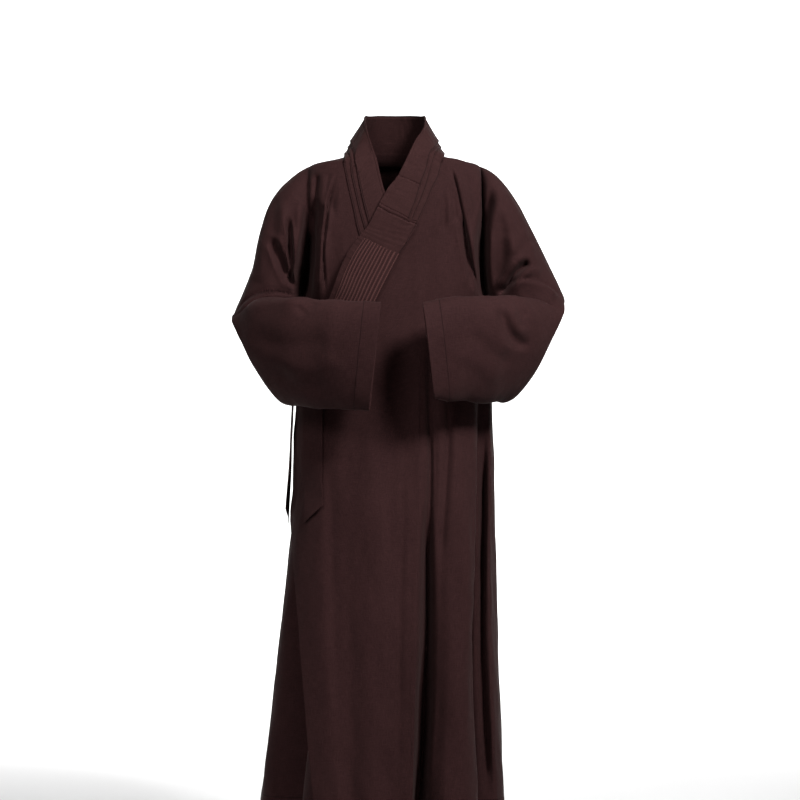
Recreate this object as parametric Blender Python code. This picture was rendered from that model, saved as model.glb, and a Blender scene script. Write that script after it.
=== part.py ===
# Long robe with wide sleeves, in the pose it is worn in. Metres, Z up.
# Origin: centre of the neck opening at the height of the shoulder points.
# The front faces -Y, the wearer's left is +X.
# Positions over the front are kept in flat front-view units (1 unit = 1.83 mm in the
# plane y = 0, seen from 4.2 m) and turned into metres by at().
import math
import bpy

UNIT = 0.00183
FAR = 4.2
MID_X = 0.00915
MID_Z = -0.448
WALL = 0.0014
SEAM = 0.00016
HEM = -1.19
PIT = -0.285
ARM_TOP = -0.018
ARM_DEEP = 0.066

# ---------------------------------------------------------------- tables
# level, half width +X, half width -X, front depth, back depth
BODY = [
    (0.078, 0.045, 0.045, 0.036, 0.053),
    (0.068, 0.048, 0.048, 0.040, 0.055),
    (0.035, 0.066, 0.068, 0.052, 0.064),
    (0.012, 0.081, 0.083, 0.062, 0.073),
    (0.000, 0.090, 0.092, 0.067, 0.080),
    (-0.008, 0.120, 0.121, 0.071, 0.087),
    (-0.018, 0.155, 0.155, 0.076, 0.096),
    (-0.050, 0.156, 0.156, 0.090, 0.113),
    (-0.090, 0.156, 0.156, 0.106, 0.127),
    (-0.140, 0.156, 0.156, 0.117, 0.132),
    (-0.200, 0.158, 0.158, 0.121, 0.130),
    (-0.285, 0.167, 0.167, 0.122, 0.121),
    (-0.370, 0.173, 0.174, 0.122, 0.112),
    (-0.457, 0.177, 0.178, 0.124, 0.110),
    (-0.530, 0.179, 0.178, 0.128, 0.115),
    (-0.609, 0.182, 0.179, 0.134, 0.124),
    (-0.668, 0.183, 0.186, 0.139, 0.131),
    (-0.785, 0.185, 0.199, 0.150, 0.146),
    (-0.887, 0.187, 0.211, 0.160, 0.158),
    (-1.004, 0.192, 0.223, 0.171, 0.172),
    (-1.092, 0.195, 0.234, 0.180, 0.183),
    (-1.195, 0.199, 0.245, 0.190, 0.196),
]

# Heights at which the fold lines below are given (front-view units).
FOLD_AT = (405, 480, 560, 640, 710, 800)
# name, place across the front at the six heights, how far in (mm) at the six heights
FOLDS_LEFT = [
    ("seam", (418, 417, 416, 415, 413, 411), (0, 0, 0, 0, 0, 0)),
    ("f1_wall", (424, 423, 420, 419, 416, 413.5), (1, 2, 4, 9, 12, 14)),
    ("f1_floor", (430, 430, 427, 429, 425, 422), (3, 4, 14, 30, 42, 56)),
    ("f1_rise", (437, 438, 438, 441, 435, 432), (2, 4, 8, 12, 16, 22)),
    ("stripe", (447, 447, 447, 450, 446, 444), (4, 3, 1, -2, -3, -3)),
    ("r1", (459, 460, 463, 460, 458, 457), (-2, -3, -4, -6, -7, -8)),
    ("r1_fall", (474, 474, 474, 469, 472, 476), (0, 0, 0, -1, -1, 0)),
    ("f2_floor", (485, 484, 483, 481, 484, 489), (6, 8, 13, 20, 25, 31)),
    ("side_roll", (490, 491, 491, 492, 495, 499), (1, 1, 1, 1, 1, 1)),
]
FOLDS_OVER = [
    ("edge", (299, 297, 297, 303, 308, 316), (0, 0, 0, 0, 0, 0)),
    ("o1", (322, 322, 324, 328, 333, 339), (-1, -1, -2, -2, -3, -4)),
    ("o2", (348, 348, 348, 349, 350, 352), (2, 3, 4, 5, 6, 7)),
    ("o3", (372, 371, 370, 371, 372, 374), (-1, -1, -2, -3, -3, -4)),
    ("o4", (396, 395, 394, 393, 392, 391), (2, 2, 2, 3, 4, 5)),
    ("seam", (418, 417, 416, 415, 413, 411), (0, 0, 0, 0, 0, 0)),
]
# Back folds: name, angle round the body at waist and hem, depth (mm) at waist and hem
FOLDS_BACK = [
    ("side_l", 90, 90, 0, 0),
    ("b1", 101, 103, 4, 17),
    ("b2", 113, 117, -2, -8),
    ("b3", 126, 131, 5, 26),
    ("b4", 141, 145, -3, -10),
    ("b5", 154, 158, 4, 22),
    ("b6", 167, 171, -2, -7),
    ("b7", 180, 185, 3, 15),
    ("b8", 196, 199, -3, -9),
    ("b9", 211, 213, 6, 27),
    ("b10", 226, 229, -2, -10),
    ("b11", 240, 243, 4, 18),
    ("b12", 255, 257, -2, -6),
    ("side_r", 270, 270, 0, 0),
]

# Sleeves: top point, bottom point, front bulge, back bulge, turn of the front (degrees)
SLEEVE_R = [
    ((-0.186, 0.000, -0.038), (-0.172, 0.000, -0.300), 0.078, 0.080, 0),
    ((-0.224, 0.000, -0.084), (-0.178, -0.006, -0.324), 0.084, 0.082, 0),
    ((-0.244, 0.000, -0.140), (-0.183, -0.014, -0.352), 0.086, 0.080, 0),
    ((-0.258, -0.002, -0.200), (-0.189, -0.024, -0.386), 0.084, 0.076, 0),
    ((-0.279, -0.006, -0.256), (-0.197, -0.040, -0.424), 0.078, 0.070, 4),
    ((-0.292, -0.020, -0.296), (-0.205, -0.062, -0.451), 0.066, 0.058, 10),
    ((-0.244, -0.082, -0.268), (-0.180, -0.114, -0.458), 0.054, 0.040, 20),
    ((-0.172, -0.146, -0.267), (-0.132, -0.156, -0.462), 0.045, 0.032, 20),
    ((-0.100, -0.190, -0.274), (-0.086, -0.188, -0.465), 0.039, 0.030, 10),
    ((-0.024, -0.212, -0.279), (-0.044, -0.210, -0.464), 0.036, 0.032, 0),
]
SLEEVE_L = [
    ((0.187, 0.000, -0.038), (0.172, 0.000, -0.300), 0.078, 0.080, 0),
    ((0.224, 0.000, -0.092), (0.178, -0.006, -0.324), 0.084, 0.082, 0),
    ((0.253, 0.000, -0.148), (0.184, -0.014, -0.352), 0.086, 0.080, 0),
    ((0.276, -0.002, -0.195), (0.191, -0.024, -0.384), 0.084, 0.076, 0),
    ((0.294, -0.008, -0.236), (0.203, -0.038, -0.420), 0.080, 0.070, 6),
    ((0.302, -0.022, -0.272), (0.212, -0.060, -0.444), 0.072, 0.060, 12),
    ((0.250, -0.082, -0.265), (0.186, -0.112, -0.452), 0.056, 0.040, 20),
    ((0.184, -0.142, -0.264), (0.144, -0.152, -0.452), 0.046, 0.032, 20),
    ((0.118, -0.184, -0.266), (0.104, -0.184, -0.449), 0.039, 0.030, 10),
    ((0.049, -0.210, -0.279), (0.070, -0.208, -0.445), 0.036, 0.032, 0),
]

# Collar stations: neck edge, band edge, first step edge, second step edge.
# Front-view units; the four at the back of the neck are (angle, height in m).
COLLAR_INNER = [
    ((396, 222), (373, 234), (368, 237), (362, 241)),
    ((390, 207), (368, 218), (363, 221), (357, 224)),
    ((384, 191), (364, 203), (359, 206), (354, 209)),
    ((380, 175.5), (361, 190), (355.5, 191), (350, 192)),
    ((376.5, 160), (358.5, 177), (352.6, 178), (347, 178)),
    ((372, 145), (356.8, 165), (351, 165), (344.6, 165)),
    ((368.9, 131), (355, 152), (350.5, 156), (344.8, 160)),
]
COLLAR_BACK = [
    ((268, 0.068), (268, 0.022), (269, 0.012), (270, 0.001)),
    ((240, 0.073), (241, 0.020), (242, 0.009), (243, -0.002)),
    ((210, 0.077), (211, 0.018), (211, 0.007), (212, -0.004)),
    ((180, 0.078), (180, 0.018), (180, 0.007), (180, -0.005)),
    ((150, 0.077), (149, 0.018), (149, 0.007), (148, -0.004)),
    ((120, 0.073), (119, 0.020), (118, 0.009), (117, -0.002)),
    ((92, 0.068), (92, 0.022), (91, 0.012), (90, 0.001)),
]
COLLAR_OUTER = [
    ((420.5, 130), (432.5, 149), (436.5, 154.5), (442.2, 160)),
    ((414, 143), (429, 158), (432.5, 162), (440.5, 167)),
    ((407, 161), (426, 172), (429, 176), (438, 178)),
    ((398, 179), (420.5, 187), (425.5, 189), (432, 190)),
    ((389, 190), (415.5, 203), (420, 203), (427, 202)),
    ((381.6, 202), (409.8, 217), (414, 216), (420.5, 216)),
    ((375, 215), (407, 227), (411, 227), (415, 228)),
    ((369, 226), (408, 239), (408, 239), (408, 239)),
    ((361, 236), (399, 254), (399, 254), (399, 254)),
    ((351, 250), (390, 271), (390, 271), (390, 271)),
    ((343, 267), (382, 287), (382, 287), (382, 287)),
    ((337, 285), (375, 302), (375, 302), (375, 302)),
    ((329, 306), (366, 323), (366, 323), (366, 323)),
    ((320, 328), (356, 345), (356, 345), (356, 345)),
]


# ---------------------------------------------------------------- curves
def hermite(xs, ys, x):
    """Monotone cubic through the points; flat beyond both ends."""
    n = len(xs)
    if xs[0] > xs[-1]:
        xs = xs[::-1]
        ys = ys[::-1]
    if x <= xs[0]:
        return ys[0]
    if x >= xs[-1]:
        return ys[-1]
    i = 0
    while x > xs[i + 1]:
        i += 1

    def slope(k):
        if k <= 0:
            return (ys[1] - ys[0]) / (xs[1] - xs[0])
        if k >= n - 1:
            return (ys[-1] - ys[-2]) / (xs[-1] - xs[-2])
        a = (ys[k] - ys[k - 1]) / (xs[k] - xs[k - 1])
        b = (ys[k + 1] - ys[k]) / (xs[k + 1] - xs[k])
        if a * b <= 0:
            return 0.0
        return 2 * a * b / (a + b)

    h = xs[i + 1] - xs[i]
    t = (x - xs[i]) / h
    m0 = slope(i)
    m1 = slope(i + 1)
    return ((1 + 2 * t) * (1 - t) ** 2 * ys[i] + t * (1 - t) ** 2 * h * m0
            + t * t * (3 - 2 * t) * ys[i + 1] + t * t * (t - 1) * h * m1)


def smooth(t):
    t = min(1.0, max(0.0, t))
    return t * t * (3 - 2 * t)


LEVELS = [row[0] for row in BODY]
COLS = [[row[k] for row in BODY] for k in range(1, 5)]
ROUND = 2.3


def arm(z):
    """How far the armhole edge stands off the side line at height z."""
    mid = (ARM_TOP + PIT) / 2
    half = (ARM_TOP - PIT) / 2
    t = (z - mid) / half
    return ARM_DEEP * math.sqrt(1 - t * t) if abs(t) < 1 else 0.0


def form(deg, z):
    """Body form: 0 = centre front, 90 = wearer's left side, 180 = centre back."""
    a = math.radians(deg)
    s = math.sin(a)
    c = math.cos(a)
    wide = hermite(LEVELS, COLS[0] if s > 0 else COLS[1], z)
    e = 2 / ROUND
    x = math.copysign(wide * abs(s) ** e, s)
    k = abs(c) ** e
    side = arm(z)
    if c > 0:
        y = -side * (1 - k) - hermite(LEVELS, COLS[2], z) * k
    else:
        y = side * (1 - k) + hermite(LEVELS, COLS[3], z) * k
    return (x, y, z)


def angle_at(x, z):
    """Angle on the front of the form for a place x at height z."""
    wide = hermite(LEVELS, COLS[0] if x > 0 else COLS[1], z)
    r = min(1.0, abs(x) / wide)
    return math.copysign(math.degrees(math.asin(min(1.0, r ** (ROUND / 2)))), x)


def at(u, v, y=0.0):
    k = UNIT * (FAR + y) / FAR
    return (MID_X + (u - 400) * k, MID_Z - (v - 400) * k)


def spot(u, v, out=0.012):
    """Front-view units to (angle, height) on the form."""
    y = -0.1
    deg = 0.0
    z = 0.0
    for _ in range(12):
        x, z = at(u, v, y)
        deg = angle_at(x, z)
        y = form(deg, z)[1] - out * math.cos(math.radians(deg))
    return (deg, z)


def line(pairs, z):
    """Angle of a hand-measured line at height z."""
    key = tuple(pairs)
    if key not in LINES:
        pts = sorted(spot(u, v) for u, v in pairs)
        pts.sort(key=lambda p: p[1])
        LINES[key] = ([p[1] for p in pts], [p[0] for p in pts])
    zs, ds = LINES[key]
    return hermite(zs, ds, z)


LINES = {}
FOLD_Z = [at(400, v, -0.12)[1] for v in FOLD_AT]


def fold_front(rows, deg, z, fade=True):
    """How far in the front folds go at this place."""
    key = (id(rows), round(z, 6))
    if key not in LINES:
        degs = []
        ins = []
        for _, us, mm in rows:
            degs.append(line(list(zip(us, FOLD_AT)), z))
            ins.append(hermite(FOLD_Z, [m * 0.001 for m in mm], z))
        degs.append(90.0 if rows is FOLDS_LEFT else 90.1)
        ins.append(0.0)
        LINES[key] = (degs, ins)
    degs, ins = LINES[key]
    t = smooth((-0.30 - z) / 0.13) if fade else 1.0
    return hermite(degs, ins, deg) * t


def fold_back(deg, z):
    t = (-0.457 - z) / (-0.457 - HEM)
    degs = [a + (b - a) * t for _, a, b, _, _ in FOLDS_BACK]
    mms = [c + (d - c) * max(0.0, t) ** 1.2 for _, _, _, c, d in FOLDS_BACK]
    fade = smooth((-0.12 - z) / 0.30)
    return hermite(degs, [m * 0.001 for m in mms], deg) * fade


def lift(deg):
    """The outer front lies over the inner one; it comes down towards the side."""
    if deg < 0:
        return 0.0066 + 0.0024 * smooth((78 + deg) / 35)
    return 0.009 * smooth((72 - deg) / 60)


def dip(z):
    """The panels sink a little where the collar lies on them."""
    return 0.0046 * smooth((z + 0.0175) / 0.008)


def outer(deg, z):
    """Outer cloth: overlap, left front and back as one sheet. Returns how far out."""
    if deg > 90:
        return -fold_back(deg, z) - dip(z)
    rows = FOLDS_LEFT
    if deg < line(SEAM_LINE, z):
        rows = FOLDS_OVER
    return lift(deg) - fold_front(rows, deg, z) - dip(z)


SEAM_LINE = tuple(zip(FOLDS_LEFT[0][1], FOLD_AT))


def inner(deg, z):
    """Inner front, flat under the overlap."""
    return -dip(z)


def unit(v):
    d = math.sqrt(v[0] ** 2 + v[1] ** 2 + v[2] ** 2) or 1.0
    return (v[0] / d, v[1] / d, v[2] / d)


def cross(a, b):
    return (a[1] * b[2] - a[2] * b[1], a[2] * b[0] - a[0] * b[2], a[0] * b[1] - a[1] * b[0])


def form_normal(deg, z):
    d0 = min(deg, 89.4) if deg <= 90 else deg
    d0 = max(d0, -89.4)
    if 90 < d0 < 90.6:
        d0 = 90.6
    if 269.4 < d0 <= 270:
        d0 = 269.4
    a = form(d0 - 0.3, z)
    b = form(d0 + 0.3, z)
    c = form(d0, z - 0.002)
    d = form(d0, z + 0.002)
    n = cross([b[i] - a[i] for i in range(3)], [d[i] - c[i] for i in range(3)])
    n = unit(n)
    if n[0] * math.sin(math.radians(deg)) - n[1] * math.cos(math.radians(deg)) < 0:
        n = (-n[0], -n[1], -n[2])
    return n


def side_normal(deg, z):
    """Same as form_normal, but shared by front and back where they meet."""
    for meet in (90, 270, -90):
        if abs(deg - meet) < 0.5:
            p = form_normal(meet - 0.7, z)
            q = form_normal(meet + 0.7, z)
            return unit([p[i] + q[i] for i in range(3)])
    return form_normal(deg, z)


def place(deg, z, out):
    p = form(deg, z)
    n = side_normal(deg, z)
    return tuple(p[i] + n[i] * out for i in range(3))


# ---------------------------------------------------------------- bodies
def normals(grid, wrap=False):
    rows = len(grid)
    cols = len(grid[0])
    out = []
    for i in range(rows):
        line_n = []
        for j in range(cols):
            i0, i1 = max(0, i - 1), min(rows - 1, i + 1)
            if wrap:
                j0, j1 = (j - 1) % cols, (j + 1) % cols
            else:
                j0, j1 = max(0, j - 1), min(cols - 1, j + 1)
            a = [grid[i1][j][k] - grid[i0][j][k] for k in range(3)]
            b = [grid[i][j1][k] - grid[i][j0][k] for k in range(3)]
            line_n.append(unit(cross(a, b)))
        out.append(line_n)
    return out


COLOURS = {}


def solid(name, verts, faces, colour=(0.045, 0.026, 0.025)):
    mesh = bpy.data.meshes.new(name)
    mesh.from_pydata(verts, [], faces)
    mesh.update()
    obj = bpy.data.objects.new(name, mesh)
    bpy.context.scene.collection.objects.link(obj)
    mat = bpy.data.materials.new(name)
    mat.use_nodes = True
    bsdf = mat.node_tree.nodes["Principled BSDF"]
    bsdf.inputs["Base Color"].default_value = (colour[0], colour[1], colour[2], 1)
    bsdf.inputs["Roughness"].default_value = 0.85
    mesh.materials.append(mat)
    # outward facing
    vol = 0.0
    for poly in mesh.polygons:
        vs = [mesh.vertices[k].co for k in poly.vertices]
        for k in range(1, len(vs) - 1):
            vol += vs[0].dot(vs[k].cross(vs[k + 1]))
    if vol < 0:
        mesh.flip_normals()
    return obj


def sheet(name, grid, norm, wall=WALL, wrap=False, colour=(0.045, 0.026, 0.025)):
    """A grid of points made into a closed wall."""
    rows = len(grid)
    cols = len(grid[0])
    verts = []
    for sgn in (0.5, -0.5):
        for i in range(rows):
            for j in range(cols):
                verts.append(tuple(grid[i][j][k] + norm[i][j][k] * wall * sgn for k in range(3)))
    half = rows * cols

    def v(i, j, s):
        return s * half + i * cols + (j % cols)

    faces = []
    span = cols if wrap else cols - 1
    for i in range(rows - 1):
        for j in range(span):
            q = (v(i, j, 0), v(i, j + 1, 0), v(i + 1, j + 1, 0), v(i + 1, j, 0))
            r = (v(i, j, 1), v(i + 1, j, 1), v(i + 1, j + 1, 1), v(i, j + 1, 1))
            # split both walls along the same diagonal
            faces += [(q[0], q[1], q[2]), (q[0], q[2], q[3])]
            faces += [(r[0], r[1], r[2]), (r[0], r[2], r[3])]
    for j in range(span):
        faces.append((v(0, j, 0), v(0, j, 1), v(0, j + 1, 1), v(0, j + 1, 0)))
        e = rows - 1
        faces.append((v(e, j, 0), v(e, j + 1, 0), v(e, j + 1, 1), v(e, j, 1)))
    if not wrap:
        for i in range(rows - 1):
            faces.append((v(i, 0, 0), v(i + 1, 0, 0), v(i + 1, 0, 1), v(i, 0, 1)))
            e = cols - 1
            faces.append((v(i, e, 0), v(i, e, 1), v(i + 1, e, 1), v(i + 1, e, 0)))
    tris = []
    for f in faces:
        if len(f) == 4:
            tris += [(f[0], f[1], f[2]), (f[0], f[2], f[3])]
        else:
            tris.append(f)
    return solid(name, verts, tris, colour)


def skin(deg, z, rise):
    """Displaced surface point and its normal at a place on the form."""
    p = place(deg, z, rise(deg, z))
    e = 0.35
    if abs(deg - 90) < e or abs(deg - 270) < e or abs(deg + 90) < e:
        return p, side_normal(deg, z)
    a = place(deg - e, z, rise(deg - e, z))
    b = place(deg + e, z, rise(deg + e, z))
    lo = max(z - 0.002, HEM)
    c = place(deg, lo, rise(deg, lo))
    d = place(deg, z + 0.002, rise(deg, z + 0.002))
    n = unit(cross([b[i] - a[i] for i in range(3)], [d[i] - c[i] for i in range(3)]))
    m = side_normal(deg, z)
    if sum(n[i] * m[i] for i in range(3)) < 0:
        n = (-n[0], -n[1], -n[2])
    return p, n


def panel(name, levels, columns, rise, seam_lo=True, seam_hi=True):
    """Cloth between two lines down the form. columns(z) gives the angles."""
    grid = []
    norm = []
    for z in levels:
        row = []
        nrow = []
        degs = columns(z)
        for d in degs:
            p, n = skin(d, z, rise)
            row.append(p)
            nrow.append(n)
        # small gap at the seams
        for on, k, q in ((seam_lo, 0, 1), (seam_hi, -1, -2)):
            if on:
                w = unit([row[q][i] - row[k][i] for i in range(3)])
                row[k] = tuple(row[k][i] + w[i] * SEAM for i in range(3))
        grid.append(row)
        norm.append(nrow)
    return grid, norm


def between(keys, steps):
    """Angles with the given number of steps between each pair of key angles."""
    out = [keys[0]]
    for k in range(len(keys) - 1):
        for s in range(1, steps[k] + 1):
            out.append(keys[k] + (keys[k + 1] - keys[k]) * s / steps[k])
    return out


def arm_levels(count):
    mid = (ARM_TOP + PIT) / 2
    half = (ARM_TOP - PIT) / 2
    return [mid + half * math.cos(math.pi * k / count) for k in range(count + 1)]


ARM_STEPS = 8
UPPER = [0.010, -0.0012, -0.006, -0.012] + arm_levels(ARM_STEPS)
LOWER = [-0.345, -0.405, -0.457, -0.545, -0.650, -0.765, -0.890, -1.015, -1.120, HEM]
ALL = UPPER + LOWER


def edge_line(stations, k):
    return tuple(s[k] for s in stations)


NECK_OUT = tuple((u - 7, v - 1) for u, v in edge_line(COLLAR_OUTER, 3)[:7])
NECK_IN = tuple((u + 7, v - 1) for u, v in edge_line(COLLAR_INNER, 3))
OVER_TOP = ((400, 244), (391, 258), (381, 277), (373, 291), (366, 305), (354, 326),
            (340, 346), (322, 365), (306, 385), (299, 405))


def left_edge(z):
    """Neck edge of the left front (a finger under the collar), then the centre seam."""
    if z > -0.006:
        return 55.0
    a = line(NECK_OUT, z)
    b = line(SEAM_LINE, z)
    cut = at(400, 226, -0.13)[1]
    return max(a, b) if z > cut else b


def over_edge(z):
    """Overlap: under the collar's edge above, free side edge below."""
    low = at(400, 405, -0.1)[1]
    if z > low:
        return line(OVER_TOP, z)
    return line(tuple(zip(FOLDS_OVER[0][1], FOLD_AT)), z)


def right_edge(z):
    """Inner front: neck edge above, free edge under the overlap below."""
    if z > -0.006:
        return -55.0
    cut = at(400, 290, -0.13)[1]
    a = line(NECK_IN, z)
    free = spot(404, 400)[0]
    return a if z > cut else a + (free - a) * smooth((cut - z) / 0.10)


def cols_left(z):
    e = left_edge(z)
    if z > -0.20:
        return [e + (89.999 - e) * k / 18 for k in range(19)]
    keys = [line(list(zip(us, FOLD_AT)), z) for _, us, _ in FOLDS_LEFT] + [89.999]
    steps = (2, 2, 2, 2, 2, 2, 2, 2, 2)
    a = between(keys, steps)
    t = smooth((-0.20 - z) / 0.22)
    b = [e + (89.999 - e) * k / 18 for k in range(19)]
    return [b[k] + (a[k] - b[k]) * t for k in range(19)]


def cols_over(z):
    e = over_edge(z)
    s = line(SEAM_LINE, z)
    flat = [e + (s - e) * k / 12 for k in range(13)]
    keys = [line(list(zip(us, FOLD_AT)), z) for _, us, _ in FOLDS_OVER]
    a = between(keys, (4, 2, 2, 2, 2))
    t = smooth((-0.40 - z) / 0.08)
    return [flat[k] + (a[k] - flat[k]) * t for k in range(13)]


def cols_right(z):
    e = right_edge(z)
    return [-89.999 + (e + 89.999) * k / 15 for k in range(16)]


def cols_back(z):
    t = (-0.457 - z) / (-0.457 - HEM)
    keys = [a + (b - a) * max(0.0, t) for _, a, b, _, _ in FOLDS_BACK]
    keys[0] = 90.001
    keys[-1] = 269.999
    return between(keys, (2, 2, 2, 2, 2, 2, 2, 2, 2, 2, 2, 2, 2))


def back_cols_top(z):
    return [90.001 + 179.998 * k / 26 for k in range(27)]


def mix_back(z):
    t = smooth((-0.10 - z) / 0.2)
    a = back_cols_top(z)
    b = cols_back(z)
    return [a[k] + (b[k] - a[k]) * t for k in range(27)]


def outer_back(deg, z):
    return -fold_back(deg, z) - dip(z)


# ---------------------------------------------------------------- sleeves
def catmull(p, t):
    """Point on a smooth line through p at t in 0..len-1."""
    i = min(int(t), len(p) - 2)
    f = t - i
    a = p[i - 1] if i > 0 else tuple(2 * p[0][k] - p[1][k] for k in range(3))
    b, c = p[i], p[i + 1]
    d = p[i + 2] if i + 2 < len(p) else tuple(2 * p[-1][k] - p[-2][k] for k in range(3))
    return tuple(0.5 * (2 * b[k] + (c[k] - a[k]) * f
                        + (2 * a[k] - 5 * b[k] + 4 * c[k] - d[k]) * f * f
                        + (3 * b[k] - a[k] - 3 * c[k] + d[k]) * f ** 3) for k in range(3))


def loop_point(row, phi, side):
    top, bot, front, back, turn = row
    mid = [(top[k] + bot[k]) / 2 for k in range(3)]
    a = math.radians(turn)
    n = (side * math.sin(a), -math.cos(a), 0.0)
    c = math.cos(phi)
    s = math.sin(phi)
    h = (front if s > 0 else back) * (1 + 0.22 * c)
    return tuple(mid[k] + (top[k] - bot[k]) / 2 * c + n[k] * h * math.copysign(abs(s) ** 0.9, s)
                 for k in range(3))


def clear(p, gap=0.0075):
    """Keep a sleeve point just in front of the body and the collar."""
    x, y, z = p
    wide = hermite(LEVELS, COLS[0] if x > 0 else COLS[1], z)
    if abs(x) < wide * 0.97 and y < 0:
        d = angle_at(x, z)
        q = place(d, z, 0.022)
        if y > q[1] - gap:
            return (x, q[1] - gap, z)
    return p


def sleeve(name, table, side, per_ring):
    mid = (ARM_TOP + PIT) / 2
    half = (ARM_TOP - PIT) / 2
    count = ARM_STEPS
    phis = [math.pi * k / count for k in range(2 * count)]
    lines = []
    for ph in phis:
        z = mid + half * math.cos(ph)
        deg = 89.999 * side
        if ph > math.pi:
            deg = (90.001 if side > 0 else 269.999)
        p0 = form(deg, z)
        pts = [p0]
        for r, row in enumerate(table):
            pts.append(loop_point(row, ph, side))
        lines.append(pts)
    rings = []
    for t in per_ring:
        ring = [catmull(p, t) for p in lines]
        rings.append([clear(p) for p in ring] if t > 5 else ring)
    # wrap direction gives outward normals on both sides
    nr = normals(rings, wrap=True)
    tot = 0.0
    for i, ring in enumerate(rings):
        c = [sum(p[k] for p in ring) / len(ring) for k in range(3)]
        for j in range(len(phis)):
            tot += sum((ring[j][k] - c[k]) * nr[i][j][k] for k in range(3))
    if tot < 0:
        nr = [[tuple(-c for c in n) for n in row] for row in nr]
    # at the armhole the wall stands square to the seam, like the body's
    for j, ph in enumerate(phis):
        z = mid + half * math.cos(ph)
        nr[0][j] = arm_normal(ph, z, side)
        w = unit([rings[1][j][k] - rings[0][j][k] for k in range(3)])
        rings[0][j] = tuple(rings[0][j][k] + w[k] * 2 * SEAM for k in range(3))
    return rings, nr


def arm_normal(phi, z, side):
    """Direction of the wall at the armhole: out of the loop, in its own plane."""
    s = math.sin(phi)
    c = math.cos(phi)
    return unit((0.25 * side * max(0.0, c), -s * 1.0, c * 0.6 if abs(c) > 0.3 else c * 0.6))


def build_sleeves():
    per = [0, 0.5, 1, 1.7, 2.4, 3.1, 3.8, 4.4, 5, 5.5, 6, 6.5, 7, 7.6, 8.3, 9.1, 10]
    for name, table, side in (("sleeve_left", SLEEVE_L, 1), ("sleeve_right", SLEEVE_R, -1)):
        g, n = sleeve(name, table, side, per)
        sheet(name, g, n, wrap=True)


def armhole_walls(grid, norm, first, hi):
    """Give the body's armhole edge the same wall direction as the sleeve."""
    side = 1 if hi else -1
    mid = (ARM_TOP + PIT) / 2
    half = (ARM_TOP - PIT) / 2
    for i, z in enumerate(ALL):
        if ARM_TOP + 1e-6 >= z >= PIT - 1e-6:
            c = max(-1.0, min(1.0, (z - mid) / half))
            phi = math.acos(c)
            if not first:
                phi = -phi
            n = arm_normal(phi, z, side)
            norm[i][-1 if hi else 0] = n


# ---------------------------------------------------------------- collar
def collar_path():
    rows = []
    for st in COLLAR_INNER:
        rows.append([spot(u, v) for u, v in st])
    for st in COLLAR_BACK:
        rows.append([(d - 360 if d > 200 else d, z) for d, z in st])
    for st in COLLAR_OUTER:
        rows.append([spot(u, v, 0.022) for u, v in st])
    # angles run on through the back as 180..360 on the inner side
    out = []
    n_in = len(COLLAR_INNER)
    n_bk = len(COLLAR_BACK)
    for i, row in enumerate(rows):
        fixed = []
        for d, z in row:
            if i < n_in:
                d = d + 360
            elif i < n_in + n_bk:
                d = d if d > 0 else d + 360
            fixed.append((d, z, 0.0))
        out.append(fixed)
    return out


def strip(stations, ws, ts, rise):
    """Cloth strip along the collar. ws runs over the four lines: 0 neck edge, 1 band,
    2 first step, 3 second step; shares of the way between them are allowed."""
    n_in = len(COLLAR_INNER)
    n_bk = len(COLLAR_BACK)
    keys = []
    for i, st in enumerate(stations):
        row = []
        for w in ws:
            k = min(int(w), 2)
            f = w - k
            d = st[k][0] + (st[k + 1][0] - st[k][0]) * f
            z = st[k][1] + (st[k + 1][1] - st[k][1]) * f
            dd = d - 360 if d > 270 else d
            up = lift(dd) if i >= n_in + n_bk else 0.0
            row.append(place(dd, z, up + rise))
        keys.append(row)
    grid = [[catmull([r[j] for r in keys], t) for j in range(len(ws))] for t in ts]
    norm = normals(grid)
    tot = 0.0
    for i in range(len(ts)):
        for j in range(len(ws)):
            p = grid[i][j]
            tot += norm[i][j][0] * p[0] + norm[i][j][1] * p[1] + norm[i][j][2] * 0.05
    if tot < 0:
        norm = [[tuple(-c for c in n) for n in row] for row in norm]
    return grid, norm


def steps_to(a, b, n):
    return [a + (b - a) * k / n for k in range(n + 1)]


def build_collar():
    st = collar_path()
    n_in = len(COLLAR_INNER)
    n_bk = len(COLLAR_BACK)
    last = len(st) - 1
    g, n = strip(st, [0, 0.25, 0.5, 0.75, 1], steps_to(0, last, 2 * last), 0.0091)
    sheet("collar", g, n)
    stop = n_in + n_bk + 5.5
    g, n = strip(st, [0.85, 1.4, 2], steps_to(0, stop, int(2 * stop)), 0.0057)
    sheet("collar_step_1", g, n)
    g, n = strip(st, [1.7, 2.35, 3], steps_to(0, stop, int(2 * stop)), 0.0031)
    sheet("collar_step_2", g, n)
    start = n_in + n_bk + 8.0
    g, n = strip(st, [0.2, 0.25, 0.5, 0.75, 1], steps_to(start, last, int(2 * (last - start))), 0.0116)
    sheet("collar_block", g, n, wall=0.0016, colour=(0.055, 0.03, 0.029))


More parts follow.
